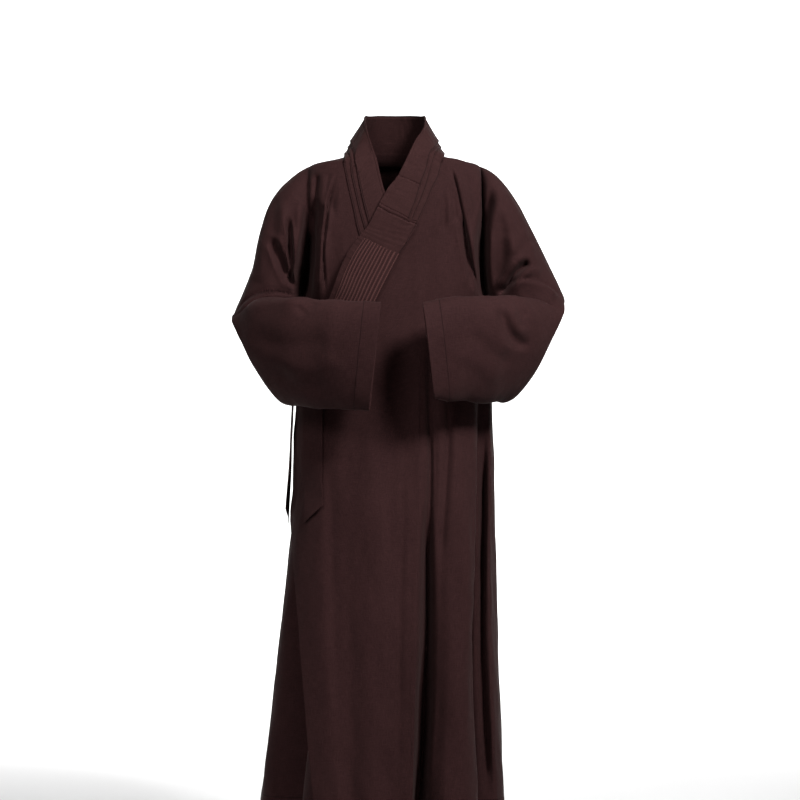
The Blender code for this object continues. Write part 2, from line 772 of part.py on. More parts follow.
# ---------------------------------------------------------------- ties
def build_ties():
    # front tail: hangs over the overlap; columns: left edge, right edge, height
    rows = [(308, 327, 378), (308.5, 326.8, 400), (309.4, 326.6, 425), (309.8, 326.6, 450),
            (310, 326.8, 475), (310.4, 327.4, 495), (311.0, 328.0, 506)]
    grid = []
    for k, (a, b, v) in enumerate(rows):
        row = []
        for j in range(4):
            u = a + (b - a) * j / 3
            vv = v + (17.0 * (1 - j / 3) if k == len(rows) - 1 else (4.0 * (1 - j / 3) if k == len(rows) - 2 else 0))
            d, z = spot(u, vv, 0.016)
            row.append(place(d, z, lift(d) + 0.0055 + 0.002 * k / 6))
        grid.append(row)
    nr = normals(grid)
    fix_out(grid, nr)
    sheet("tie_front", grid, nr)
    # back tail: seen on its edge beside the hip; columns: x, height, y front, y back
    rows = [(-0.1850, -0.425, -0.045, -0.013), (-0.1860, -0.460, -0.045, -0.013),
            (-0.1875, -0.500, -0.044, -0.012), (-0.1905, -0.570, -0.043, -0.011),
            (-0.1935, -0.610, -0.042, -0.010), (-0.1960, -0.645, -0.041, -0.009)]
    grid = []
    for k, (x, z, y0, y1) in enumerate(rows):
        row = []
        for j in range(4):
            y = y0 + (y1 - y0) * j / 3
            zz = z - (0.028 * j / 3 if k == len(rows) - 1 else 0)
            row.append((x + 0.0022 * math.sin(j * 1.3 + k), y, zz))
        grid.append(row)
    nr = normals(grid)
    for i in range(len(grid)):
        for j in range(4):
            if nr[i][j][0] > 0:
                nr[i][j] = tuple(-c for c in nr[i][j])
    sheet("tie_back", grid, nr)
    # knot: a plain loop of the same cloth standing just above both tails
    grid = []
    for i in range(4):
        row = []
        for j in range(14):
            a = 2 * math.pi * j / 14
            row.append((-0.130 + 0.0135 * math.cos(a) * (1 + 0.12 * math.sin(2 * a)),
                        -0.1140 + 0.0042 * math.sin(a),
                        -0.366 - 0.0085 * i + 0.001 * math.sin(a)))
        grid.append(row)
    nr = normals(grid, wrap=True)
    for i in range(len(grid)):
        for j in range(14):
            p = grid[i][j]
            v = (p[0] + 0.130, p[1] + 0.1140, 0)
            if sum(v[k] * nr[i][j][k] for k in range(3)) < 0:
                nr[i][j] = tuple(-c for c in nr[i][j])
    sheet("tie_knot", grid, nr, wall=0.0014, wrap=True)


def fix_out(grid, nr):
    for i in range(len(grid)):
        for j in range(len(grid[0])):
            p = grid[i][j]
            if nr[i][j][0] * p[0] + nr[i][j][1] * p[1] < 0:
                nr[i][j] = tuple(-c for c in nr[i][j])


def build():
    for obj in list(bpy.data.objects):
        bpy.data.objects.remove(obj, do_unlink=True)
    # fronts and back; their armhole edges share the wall direction with the sleeves
    g, n = panel("front_left", ALL, cols_left, outer)
    armhole_walls(g, n, True, True)
    sheet("front_left", g, n)
    lv = [-0.166, -0.178, -0.20, -0.23, -0.26, -0.285, -0.305, -0.325,
          -0.345, -0.365, -0.385] + [z for z in LOWER if z < -0.40]
    g, n = panel("front_overlap", lv, cols_over, outer, seam_lo=False)
    sheet("front_overlap", g, n)
    g, n = panel("front_right", ALL, cols_right, inner, seam_hi=False)
    armhole_walls(g, n, True, False)
    sheet("front_right", g, n)
    g, n = panel("back", ALL, mix_back, outer_back)
    armhole_walls_back(n)
    eg = []
    en = []
    z = 0.028
    eg.append([place(92 + 176 * k / 26, 0.028, -dip(z)) for k in range(27)])
    en.append([form_normal(92 + 176 * k / 26, 0.028) for k in range(27)])
    sheet("back", eg + g, en + n)
    build_sleeves()
    build_collar()
    build_ties()


def armhole_walls_back(norm):
    mid = (ARM_TOP + PIT) / 2
    half = (ARM_TOP - PIT) / 2
    for i, z in enumerate(ALL):
        if ARM_TOP + 1e-6 >= z >= PIT - 1e-6:
            phi = -math.acos(max(-1.0, min(1.0, (z - mid) / half)))
            norm[i][0] = arm_normal(phi, z, 1)
            norm[i][-1] = arm_normal(phi, z, -1)


build()
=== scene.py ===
# Long robe with wide sleeves: cloth, seams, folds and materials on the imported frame.
# Metres, Z up, front faces -Y. Places over the front are kept in flat front-view units
# (1 unit = 1.83 mm in the plane y = 0, seen from 4.2 m).
import math

import bpy
import numpy as np
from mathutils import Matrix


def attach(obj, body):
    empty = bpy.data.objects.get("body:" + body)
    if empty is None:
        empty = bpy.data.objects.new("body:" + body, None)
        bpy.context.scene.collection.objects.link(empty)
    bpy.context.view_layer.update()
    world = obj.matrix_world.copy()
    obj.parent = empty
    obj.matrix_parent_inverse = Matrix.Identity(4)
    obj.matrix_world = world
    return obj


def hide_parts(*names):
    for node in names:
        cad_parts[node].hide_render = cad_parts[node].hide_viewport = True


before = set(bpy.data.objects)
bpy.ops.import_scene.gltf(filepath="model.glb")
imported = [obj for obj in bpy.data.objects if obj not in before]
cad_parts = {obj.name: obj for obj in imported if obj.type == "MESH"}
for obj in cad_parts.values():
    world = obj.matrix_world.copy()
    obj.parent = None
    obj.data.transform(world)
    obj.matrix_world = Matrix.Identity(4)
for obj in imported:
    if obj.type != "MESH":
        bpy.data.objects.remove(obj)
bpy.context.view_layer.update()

UNIT, FAR, MID_X, MID_Z = 0.00183, 4.2, 0.00915, -0.448
HEM, PIT, ARM_TOP, ARM_DEEP = -1.19, -0.285, -0.018, 0.066
WALL = 0.0014
ROUND = 2.3

# level, half width +X, half width -X, front depth, back depth
BODY = np.array([
    (0.078, 0.045, 0.045, 0.036, 0.053),
    (0.068, 0.048, 0.048, 0.040, 0.055),
    (0.035, 0.066, 0.068, 0.052, 0.064),
    (0.012, 0.081, 0.083, 0.062, 0.073),
    (0.000, 0.090, 0.092, 0.067, 0.080),
    (-0.008, 0.120, 0.121, 0.071, 0.087),
    (-0.018, 0.155, 0.155, 0.076, 0.096),
    (-0.050, 0.156, 0.156, 0.090, 0.113),
    (-0.090, 0.156, 0.156, 0.106, 0.127),
    (-0.140, 0.156, 0.156, 0.117, 0.132),
    (-0.200, 0.158, 0.158, 0.121, 0.130),
    (-0.285, 0.167, 0.167, 0.122, 0.121),
    (-0.370, 0.173, 0.174, 0.122, 0.112),
    (-0.457, 0.177, 0.178, 0.124, 0.110),
    (-0.530, 0.179, 0.178, 0.128, 0.115),
    (-0.609, 0.182, 0.179, 0.134, 0.124),
    (-0.668, 0.183, 0.186, 0.139, 0.131),
    (-0.785, 0.185, 0.199, 0.150, 0.146),
    (-0.887, 0.187, 0.211, 0.160, 0.158),
    (-1.004, 0.192, 0.223, 0.171, 0.172),
    (-1.092, 0.195, 0.234, 0.180, 0.183),
    (-1.195, 0.199, 0.245, 0.190, 0.196),
])
FOLD_AT = (405, 480, 560, 640, 710, 800)
FOLDS_LEFT = [
    ("seam", (418, 417, 416, 415, 413, 411), (0, 0, 0, 0, 0, 0)),
    ("f1_wall", (424, 423, 420, 419, 416, 413.5), (1, 3, 8, 14, 18, 22)),
    ("f1_floor", (430, 430, 427, 429, 425, 422), (8, 14, 32, 52, 68, 84)),
    ("f1_base", (433.5, 434, 432, 435, 430.5, 427.5), (6, 11, 26, 46, 62, 80)),
    ("f1_rise", (438, 439, 440, 443, 438, 435), (3, 6, 10, 15, 20, 28)),
    ("stripe", (447, 447, 447, 450, 446, 444), (4, 3, 1, -2, -3, -3)),
    ("r1", (459, 460, 463, 460, 458, 457), (-4, -6, -9, -12, -13, -14)),
    ("r1_fall", (474, 474, 474, 469, 472, 476), (0, 0, 0, -1, -1, 0)),
    ("f2_floor", (485, 484, 483, 481, 484, 489), (14, 21, 31, 42, 50, 58)),
    ("side_roll", (490, 491, 491, 492, 495, 499), (1, 1, 1, 1, 1, 1)),
]
FOLDS_OVER = [
    ("edge", (299, 297, 297, 303, 308, 316), (0, 0, 0, 0, 0, 0)),
    ("o1", (322, 322, 324, 328, 333, 339), (-1, -1, -2, -2, -3, -4)),
    ("o2", (348, 348, 348, 349, 350, 352), (2, 3, 4, 5, 6, 7)),
    ("o3", (372, 371, 370, 371, 372, 374), (-1, -1, -2, -3, -3, -4)),
    ("o4", (396, 395, 394, 393, 392, 391), (2, 2, 2, 3, 4, 5)),
    ("seam", (418, 417, 416, 415, 413, 411), (0, 0, 0, 0, 0, 0)),
]
FOLDS_BACK = [
    ("side_l", 90, 90, 0, 0), ("b1", 101, 103, 4, 17), ("b2", 113, 117, -2, -8),
    ("b3", 126, 131, 5, 26), ("b4", 141, 145, -3, -10), ("b5", 154, 158, 4, 22),
    ("b6", 167, 171, -2, -7), ("b7", 180, 185, 3, 15), ("b8", 196, 199, -3, -9),
    ("b9", 211, 213, 6, 27), ("b10", 226, 229, -2, -10), ("b11", 240, 243, 4, 18),
    ("b12", 255, 257, -2, -6), ("side_r", 270, 270, 0, 0),
]
SLEEVE_R = [
    ((-0.186, 0.000, -0.038), (-0.172, 0.000, -0.300), 0.078, 0.080, 0),
    ((-0.224, 0.000, -0.084), (-0.178, -0.006, -0.324), 0.084, 0.082, 0),
    ((-0.244, 0.000, -0.140), (-0.183, -0.014, -0.352), 0.086, 0.080, 0),
    ((-0.258, -0.002, -0.200), (-0.189, -0.024, -0.386), 0.084, 0.076, 0),
    ((-0.279, -0.006, -0.256), (-0.197, -0.040, -0.424), 0.078, 0.070, 4),
    ((-0.292, -0.020, -0.296), (-0.205, -0.062, -0.451), 0.066, 0.058, 10),
    ((-0.244, -0.082, -0.268), (-0.180, -0.114, -0.458), 0.054, 0.040, 20),
    ((-0.172, -0.146, -0.267), (-0.132, -0.156, -0.462), 0.045, 0.032, 20),
    ((-0.100, -0.190, -0.274), (-0.086, -0.188, -0.465), 0.039, 0.030, 10),
    ((-0.024, -0.212, -0.279), (-0.044, -0.210, -0.464), 0.036, 0.032, 0),
]
SLEEVE_L = [
    ((0.187, 0.000, -0.038), (0.172, 0.000, -0.300), 0.078, 0.080, 0),
    ((0.224, 0.000, -0.092), (0.178, -0.006, -0.324), 0.084, 0.082, 0),
    ((0.253, 0.000, -0.148), (0.184, -0.014, -0.352), 0.086, 0.080, 0),
    ((0.276, -0.002, -0.195), (0.191, -0.024, -0.384), 0.084, 0.076, 0),
    ((0.294, -0.008, -0.236), (0.203, -0.038, -0.420), 0.080, 0.070, 6),
    ((0.302, -0.022, -0.272), (0.212, -0.060, -0.444), 0.072, 0.060, 12),
    ((0.250, -0.082, -0.265), (0.186, -0.112, -0.452), 0.056, 0.040, 20),
    ((0.184, -0.142, -0.264), (0.144, -0.152, -0.452), 0.046, 0.032, 20),
    ((0.118, -0.184, -0.266), (0.104, -0.184, -0.449), 0.039, 0.030, 10),
    ((0.049, -0.210, -0.279), (0.070, -0.208, -0.445), 0.036, 0.032, 0),
]
COLLAR_INNER = [
    ((396, 222), (373, 234), (368, 237), (362, 241)),
    ((390, 207), (368, 218), (363, 221), (357, 224)),
    ((384, 191), (364, 203), (359, 206), (354, 209)),
    ((380, 175.5), (361, 190), (355.5, 191), (350, 192)),
    ((376.5, 160), (358.5, 177), (352.6, 178), (347, 178)),
    ((372, 145), (356.8, 165), (351, 165), (344.6, 165)),
    ((368.9, 131), (355, 152), (350.5, 156), (344.8, 160)),
]
COLLAR_BACK = [
    ((268, 0.068), (268, 0.022), (269, 0.012), (270, 0.001)),
    ((240, 0.073), (241, 0.020), (242, 0.009), (243, -0.002)),
    ((210, 0.077), (211, 0.018), (211, 0.007), (212, -0.004)),
    ((180, 0.078), (180, 0.018), (180, 0.007), (180, -0.005)),
    ((150, 0.077), (149, 0.018), (149, 0.007), (148, -0.004)),
    ((120, 0.073), (119, 0.020), (118, 0.009), (117, -0.002)),
    ((92, 0.068), (92, 0.022), (91, 0.012), (90, 0.001)),
]
COLLAR_OUTER = [
    ((420.5, 130), (432.5, 149), (436.5, 154.5), (442.2, 160)),
    ((414, 143), (429, 158), (432.5, 162), (440.5, 167)),
    ((407, 161), (426, 172), (429, 176), (438, 178)),
    ((398, 179), (420.5, 187), (425.5, 189), (432, 190)),
    ((389, 190), (415.5, 203), (420, 203), (427, 202)),
    ((381.6, 202), (409.8, 217), (414, 216), (420.5, 216)),
    ((375, 215), (407, 227), (411, 227), (415, 228)),
    ((369, 226), (408, 239), (408, 239), (408, 239)),
    ((361, 236), (399, 254), (399, 254), (399, 254)),
    ((351, 250), (390, 271), (390, 271), (390, 271)),
    ((343, 267), (382, 287), (382, 287), (382, 287)),
    ((337, 285), (375, 302), (375, 302), (375, 302)),
    ((329, 306), (366, 323), (366, 323), (366, 323)),
    ((320, 328), (356, 345), (356, 345), (356, 345)),
]
OVER_TOP = ((400, 244), (391, 258), (381, 277), (373, 291), (366, 305), (354, 326),
            (340, 346), (322, 365), (306, 385), (299, 405))

# Creases seen from the front. kind: v trough, r ridge, lip = step with its high side to the
# right of the line's direction. name, where, kind, depth mm, half width in units, points
CREASES = [
    # wearer's left shoulder and chest (right in the front view)
    ("a_lip", "body", "lip", 5.0, 9.0, ((481, 299), (478.6, 288), (472.3, 263), (467, 235), (461.6, 206), (457, 185), (451.8, 169), (444.5, 154))),
    ("a_sharp", "body", "v", 3.0, 1.5, ((478.6, 294), (472.3, 263), (467, 235), (461.6, 206), (457, 185), (451.8, 169), (444.5, 154))),
    ("a_low", "body", "v", 6.0, 3.0, ((474, 292), (469, 262), (464, 236), (461, 215))),
    ("b_valley", "both", "v", 11.0, 4.2, ((493.5, 183), (490, 200), (485.5, 216), (482.5, 230), (481.5, 246), (481, 262), (482, 280), (484, 297))),
    ("b_pit", "both", "v", 12.0, 4.6, ((481.5, 226), (481, 250), (482, 276), (484, 304))),
    ("c_soft", "body", "v", 2.4, 3.2, ((464, 169), (471, 185), (476.5, 199), (479, 214))),
    ("d_soft", "body", "v", 2.0, 3.0, ((440, 179), (442.5, 196), (444, 214), (443, 234))),
    ("e_soft", "body", "v", 1.6, 3.0, ((450, 182), (454, 200), (456, 224))),
    ("e2_soft", "body", "v", 1.3, 2.6, ((433, 200), (431, 218), (428, 236))),
    ("d_ridge", "body", "r", 1.2, 4.0, ((447, 182), (449, 200), (451, 228))),
    # wearer's right shoulder and chest (left in the front view)
    ("f_lip", "body", "lip", 4.5, 8.0, ((343.8, 156), (341.5, 169), (335.7, 178), (331.8, 187), (327.7, 206), (323.6, 240), (322.9, 261), (325, 298))),
    ("f_sharp", "body", "v", 3.0, 1.6, ((343.8, 158), (341.5, 169), (335.7, 178), (331.8, 187), (327.7, 206), (323.6, 240), (322.9, 261), (325, 296))),
    ("f_soft", "body", "v", 4.0, 3.6, ((342, 166), (338, 185), (333.5, 202), (331, 214))),
    ("g_valley", "both", "v", 19.0, 6.5, ((316, 196), (313.4, 215), (310.7, 240), (309.5, 262), (306, 277), (304.5, 296))),
    ("g_pit", "both", "v", 17.0, 6.0, ((310, 226), (308.5, 250), (306, 272), (305, 304))),
    ("g_top", "both", "v", 6.0, 3.4, ((318, 172), (316.4, 190), (314.5, 208))),
    ("g_top2", "body", "v", 2.4, 3.4, ((330, 172), (327, 188), (324, 204))),
    ("g_ridge", "both", "r", 2.4, 4.0, ((300, 196), (300, 226), (299, 252), (299, 280))),
    ("h_line", "sleeve", "v", 6.5, 2.0, ((288, 214), (290, 238), (291.6, 262), (291, 278), (296, 292))),
    ("i_diag", "sleeve", "v", 8.0, 3.6, ((269, 236), (275, 249), (281, 263), (287, 275), (294, 288))),
    ("j_ridge", "sleeve", "r", 3.0, 4.4, ((262, 222), (260.5, 246), (259, 270), (256, 284))),
    ("k_ridge", "sleeve", "r", 2.6, 5.5, ((282, 200), (283, 224), (284.5, 250))),
    ("k_soft", "sleeve", "v", 2.6, 4.4, ((276, 196), (273, 216), (271, 236))),
    # elbow, wearer's right
    ("l_lip", "sleeve", "lip", 8.0, 10.0, ((234, 316), (244.6, 304), (257, 295), (269.6, 291.5), (284, 292.5), (302, 296.5))),
    ("l_soft", "sleeve", "r", 2.6, 6.0, ((250, 312), (264, 304), (284, 301), (306, 303))),
    ("m_soft", "sleeve", "v", 1.5, 8.0, ((243, 330), (268, 341), (300, 344), (332, 338))),
    ("n_soft", "sleeve", "r", 1.8, 9.0, ((252, 346), (276, 362), (310, 368), (345, 360))),
    ("o_soft", "sleeve", "v", 1.5, 7.0, ((268, 368), (296, 384), (330, 388))),
    ("o2_soft", "sleeve", "v", 1.6, 3.4, ((296, 304), (300, 309), (307, 314))),
    ("o3_soft", "sleeve", "v", 1.4, 3.0, ((316, 302), (312, 306), (306, 308))),
    # elbow, wearer's left
    ("p_deep", "sleeve", "v", 11.0, 3.6, ((498, 296), (507, 286.5), (514, 275.5), (523, 266.5), (532, 261.5))),
    ("p_lip", "sleeve", "lip", 6.0, 8.0, ((504, 291), (518, 281), (529, 279.5), (541, 283.5), (553.6, 290), (561.5, 298))),
    ("p_ridge", "sleeve", "r", 3.2, 3.6, ((512, 282), (520, 274.5), (531, 270), (543, 272))),
    ("q_soft", "sleeve", "r", 3.0, 6.0, ((508, 232), (514, 250), (520, 262))),
    ("q2_soft", "sleeve", "v", 2.6, 5.0, ((500, 210), (503, 234), (503, 262), (500, 284))),
    ("q3_soft", "sleeve", "v", 2.4, 4.4, ((531, 236), (523, 248), (512, 262))),
    ("r_drop", "sleeve", "v", 4.0, 4.6, ((500, 306), (504, 322), (511, 336), (521, 343.5), (531, 341))),
    ("r_bulge", "sleeve", "r", 3.6, 5.5, ((509, 303), (514, 318), (522, 330), (529, 327))),
    ("r_in", "sleeve", "v", 2.4, 3.4, ((515, 298), (521, 310), (527, 318))),
    ("s_soft", "sleeve", "v", 1.6, 6.0, ((470, 330), (492, 352), (512, 366))),
    ("s2_soft", "sleeve", "r", 1.6, 7.0, ((452, 350), (478, 364), (500, 384))),
    ("s3_soft", "sleeve", "v", 1.8, 3.0, ((494, 299), (490, 305), (484, 309))),
    # skirt
    ("t_line", "body", "v", 2.6, 1.8, ((430, 398), (430.5, 470), (430, 560))),
    ("t_stripe", "body", "v", 3.4, 3.4, ((447, 396), (448, 440), (446, 486), (441, 560))),
    ("f1_line", "body", "v", 11.0, 3.8, ((427, 500), (428, 580), (428, 650), (425, 720), (422, 806))),
    ("f2_line", "body", "v", 14.0, 3.0, ((485, 412), (483, 500), (482, 580), (482, 650), (485, 720), (489, 806))),
    ("t_dimple", "body", "v", 3.0, 3.0, ((478, 560), (474, 580), (470, 600))),
    ("u_soft", "over", "v", 1.4, 5.0, ((330, 410), (331, 520), (335, 660), (340, 790))),
    ("u2_soft", "over", "r", 1.2, 5.5, ((385, 410), (384, 560), (384, 700), (383, 800))),
    ("u3_soft", "over", "v", 1.2, 3.0, ((404, 412), (403, 520), (400, 640), (398, 800))),
]
# Creases of the hidden sides, seen from behind (x, z in metres)
CREASES_BACK = [
    ("ba", "v", 5.0, 0.008, ((-0.135, -0.060), (-0.128, -0.130), (-0.118, -0.220))),
    ("bb", "v", 6.0, 0.009, ((0.138, -0.055), (0.130, -0.120), (0.122, -0.215))),
    ("bc", "v", 2.2, 0.012, ((-0.060, -0.040), (-0.062, -0.150), (-0.070, -0.330))),
    ("bd", "v", 2.4, 0.012, ((0.050, -0.045), (0.056, -0.160), (0.066, -0.340))),
    ("be", "r", 2.0, 0.014, ((0.000, -0.060), (-0.004, -0.200), (-0.002, -0.360))),
    ("bf", "v", 5.0, 0.009, ((-0.286, -0.250), (-0.250, -0.290), (-0.215, -0.310))),
    ("bg", "v", 4.0, 0.008, ((-0.276, -0.200), (-0.240, -0.235), (-0.205, -0.250))),
    ("bh", "v", 5.0, 0.009, ((0.292, -0.235), (0.256, -0.275), (0.220, -0.300))),
    ("bi", "v", 4.0, 0.008, ((0.278, -0.185), (0.245, -0.220), (0.208, -0.240))),
    ("bj", "r", 3.0, 0.010, ((-0.262, -0.190), (-0.246, -0.120), (-0.222, -0.080))),
    ("bk", "r", 3.0, 0.010, ((0.262, -0.180), (0.246, -0.120), (0.222, -0.085))),
    ("bl", "v", 4.0, 0.008, ((-0.190, -0.070), (-0.196, -0.150), (-0.196, -0.250))),
    ("bm", "v", 4.0, 0.008, ((0.190, -0.070), (0.198, -0.150), (0.200, -0.250))),
]


# ------------------------------------------------------------------ curves
def pchip(xs, ys):
    xs = np.asarray(xs, float)
    ys = np.asarray(ys, float)
    if xs[0] > xs[-1]:
        xs, ys = xs[::-1], ys[::-1]
    h = np.diff(xs)
    d = np.diff(ys) / h
    m = np.zeros(len(ys))
    m[0], m[-1] = d[0], d[-1]
    prod = d[:-1] * d[1:]
    good = prod > 0
    m[1:-1][good] = 2 * prod[good] / (d[:-1] + d[1:])[good]

    def f(x):
        x = np.clip(np.asarray(x, float), xs[0], xs[-1])
        i = np.clip(np.searchsorted(xs, x, side="right") - 1, 0, len(xs) - 2)
        t = (x - xs[i]) / h[i]
        return ((1 + 2 * t) * (1 - t) ** 2 * ys[i] + t * (1 - t) ** 2 * h[i] * m[i]
                + t * t * (3 - 2 * t) * ys[i + 1] + t * t * (t - 1) * h[i] * m[i + 1])
    return f


def smooth(t):
    t = np.clip(t, 0.0, 1.0)
    return t * t * (3 - 2 * t)


WIDE_P = pchip(BODY[:, 0], BODY[:, 1])
WIDE_N = pchip(BODY[:, 0], BODY[:, 2])
DEEP_F = pchip(BODY[:, 0], BODY[:, 3])
DEEP_B = pchip(BODY[:, 0], BODY[:, 4])
ARM_MID = (ARM_TOP + PIT) / 2
ARM_HALF = (ARM_TOP - PIT) / 2


def arm(z):
    t = (z - ARM_MID) / ARM_HALF
    return ARM_DEEP * np.sqrt(np.clip(1 - t * t, 0, 1))


def form(deg, z):
    deg, z = np.broadcast_arrays(np.asarray(deg, float), np.asarray(z, float))
    a = np.radians(deg)
    s, c = np.sin(a), np.cos(a)
    e = 2 / ROUND
    x = np.where(s > 0, WIDE_P(z), WIDE_N(z)) * np.sign(s) * np.abs(s) ** e
    k = np.abs(c) ** e
    side = arm(z)
    y = np.where(c > 0, -side * (1 - k) - DEEP_F(z) * k, side * (1 - k) + DEEP_B(z) * k)
    return np.stack([x, y, z], -1)


def unit(v):
    return v / np.maximum(np.linalg.norm(v, axis=-1, keepdims=True), 1e-12)


def form_normal(deg, z):
    deg, z = np.broadcast_arrays(np.asarray(deg, float), np.asarray(z, float))

    def one(d):
        n = np.cross(form(d + 0.3, z) - form(d - 0.3, z), form(d, z + 0.002) - form(d, z - 0.002))
        n = unit(n)
        out = n[..., 0] * np.sin(np.radians(d)) - n[..., 1] * np.cos(np.radians(d))
        return n * np.where(out < 0, -1.0, 1.0)[..., None]

    d0 = np.array(deg)
    for meet in (-90.0, 90.0, 270.0):
        near = np.abs(d0 - meet) < 0.7
        d0 = np.where(near, np.where(d0 <= meet, meet - 0.7, meet + 0.7), d0)
    n = one(d0)
    for meet in (-90.0, 90.0, 270.0):
        near = np.abs(deg - meet) < 0.5
        if near.any():
            both = unit(one(np.full_like(deg, meet - 0.7)) + one(np.full_like(deg, meet + 0.7)))
            n = np.where(near[..., None], both, n)
    return n


def place(deg, z, out):
    return form(deg, z) + form_normal(deg, z) * np.asarray(out)[..., None]


def angle_at(x, z):
    x, z = np.asarray(x, float), np.asarray(z, float)
    wide = np.where(x > 0, WIDE_P(z), WIDE_N(z))
    r = np.clip(np.abs(x) / wide, 0, 1)
    return np.sign(x) * np.degrees(np.arcsin(np.clip(r ** (ROUND / 2), 0, 1)))


def at(u, v, y=0.0):
    k = UNIT * (FAR + y) / FAR
    return (MID_X + (u - 400) * k, MID_Z - (v - 400) * k)


def seen(p):
    k = FAR / (FAR + p[..., 1]) / UNIT
    return 400 + (p[..., 0] - MID_X) * k, 400 - (p[..., 2] - MID_Z) * k


def spot(u, v, out=0.012):
    y = -0.1
    for _ in range(12):
        x, z = at(u, v, y)
        deg = float(angle_at(x, z))
        y = float(form(deg, z)[..., 1]) - out * math.cos(math.radians(deg))
    return deg, z


_LINES = {}


def line(pairs, z):
    key = tuple(pairs)
    if key not in _LINES:
        pts = sorted((spot(u, v) for u, v in pairs), key=lambda p: p[1])
        _LINES[key] = pchip([p[1] for p in pts], [p[0] for p in pts])
    return float(_LINES[key](z))


FOLD_Z = [at(400, v, -0.12)[1] for v in FOLD_AT]
SEAM_LINE = tuple(zip(FOLDS_LEFT[0][1], FOLD_AT))


def fold_row(rows, z):
    degs = [line(tuple(zip(us, FOLD_AT)), z) for _, us, _ in rows]
    ins = [float(pchip(FOLD_Z, [m * 0.001 for m in mm])(z)) for _, _, mm in rows]
    degs.append(90.0 if rows is FOLDS_LEFT else max(degs[-1] + 0.5, 90.1))
    ins.append(0.0)
    t = float(smooth((-0.30 - z) / 0.13))
    f = pchip(degs, ins)
    return lambda d: f(d) * t


def back_row(z):
    t = (-0.457 - z) / (-0.457 - HEM)
    degs = [a + (b - a) * t for _, a, b, _, _ in FOLDS_BACK]
    ins = [(c + (d - c) * max(0.0, t) ** 1.2) * 0.001 for _, _, _, c, d in FOLDS_BACK]
    fade = float(smooth((-0.12 - z) / 0.30))
    f = pchip(degs, ins)
    return lambda d: f(d) * fade


def lift(deg):
    deg = np.asarray(deg, float)
    return np.where(deg < 0, 0.0066 + 0.0024 * smooth((78 + deg) / 35),
                    0.009 * smooth((72 - deg) / 60))


def dip(z):
    return 0.0046 * smooth((np.asarray(z) + 0.0175) / 0.008)


def catmull(p, ts):
    """p: (n, ..., 3) key rows; ts: places 0..n-1. Returns (len(ts), ..., 3)."""
    p = np.asarray(p, float)
    n = len(p)
    ts = np.asarray(ts, float)
    i = np.minimum(ts.astype(int), n - 2)
    f = (ts - i).reshape((-1,) + (1,) * (p.ndim - 1))
    pad = np.concatenate([[2 * p[0] - p[1]], p, [2 * p[-1] - p[-2]]])
    a, b, c, d = pad[i], pad[i + 1], pad[i + 2], pad[i + 3]
    return 0.5 * (2 * b + (c - a) * f + (2 * a - 5 * b + 4 * c - d) * f * f
                  + (3 * b - a - 3 * c + d) * f ** 3)


# ------------------------------------------------------------------ relief
def to_line(u, v, pts):
    """Distance to a line of points, share of its length, and side (+ = right)."""
    pts = np.asarray(pts, float)
    seg = np.diff(pts, axis=0)
    ln = np.linalg.norm(seg, axis=1)
    cum = np.concatenate([[0], np.cumsum(ln)])
    best = np.full(u.shape, 1e9)
    share = np.zeros(u.shape)
    side = np.zeros(u.shape)
    for k in range(len(seg)):
        du, dv = u - pts[k, 0], v - pts[k, 1]
        t = np.clip((du * seg[k, 0] + dv * seg[k, 1]) / ln[k] ** 2, 0, 1)
        eu, ev = du - t * seg[k, 0], dv - t * seg[k, 1]
        d = np.hypot(eu, ev)
        s = np.sign(seg[k, 0] * dv - seg[k, 1] * du)
        m = d < best
        best = np.where(m, d, best)
        share = np.where(m, (cum[k] + t * ln[k]) / cum[-1], share)
        side = np.where(m, s, side)
    return best, share, side


def fine_line(pts, n=24):
    return catmull(np.asarray(pts, float)[:, None, :], np.linspace(0, len(pts) - 1, n))[:, 0, :]


def crease(u, v, kind, mm, half, pts):
    q = fine_line(pts)
    lo = q.min(0) - 4 * half - 2
    hi = q.max(0) + 4 * half + 2
    near = (u > lo[0]) & (u < hi[0]) & (v > lo[1]) & (v < hi[1])
    out = np.zeros(u.shape)
    if not near.any():
        return out
    d, share, side = to_line(u[near], v[near], q)
    ends = smooth(share / 0.22) * smooth((1 - share) / 0.16)
    if kind == "v":
        f = -np.exp(-(d / half) ** 2) + 0.22 * np.exp(-((d - 2.1 * half) / (0.9 * half)) ** 2)
    elif kind == "r":
        f = np.exp(-(d / half) ** 2)
    else:
        s = d * side
        f = np.where(s > 0, np.exp(-s / half), 0.0) * smooth(s / 1.3 + 0.5)
        f = f - 0.45 * np.exp(-(np.abs(s + 0.8) / 1.6) ** 2)
    out[near] = f * ends * mm * 0.001
    return out


RNG = np.random.default_rng(41)


def waves(count, lx, lz):
    k = []
    for _ in range(count):
        k.append((RNG.uniform(0.6, 1.4) * 2 * math.pi / lx * RNG.choice([-1, 1]),
                  RNG.uniform(0.4, 1.5) * 2 * math.pi / lz, RNG.uniform(0, 6.28),
                  RNG.uniform(0.5, 1.0)))
    return k


W_BIG = waves(7, 0.085, 0.34)
W_MID = waves(9, 0.034, 0.15)
W_FINE = waves(11, 0.013, 0.045)


def ripple(a, b, table):
    a, b = np.broadcast_arrays(a, b)
    f = np.zeros(a.shape)
    for kx, kz, ph, w in table:
        f += w * np.sin(kx * a + kz * b + ph + 0.8 * np.sin(kz * 0.37 * b + ph * 2))
    return f / math.sqrt(len(table))


GAIN = {"v": 1.75, "r": 1.6, "lip": 1.5}


def front_creases(p, where):
    """How far creases stand towards the front at points p."""
    u, v = seen(p)
    out = np.zeros(u.shape)
    for name, on, kind, mm, half, pts in CREASES:
        if on == where or (on == "both" and where in ("body", "sleeve")):
            out += crease(u, v, kind, mm * GAIN[kind], half, pts)
    return out


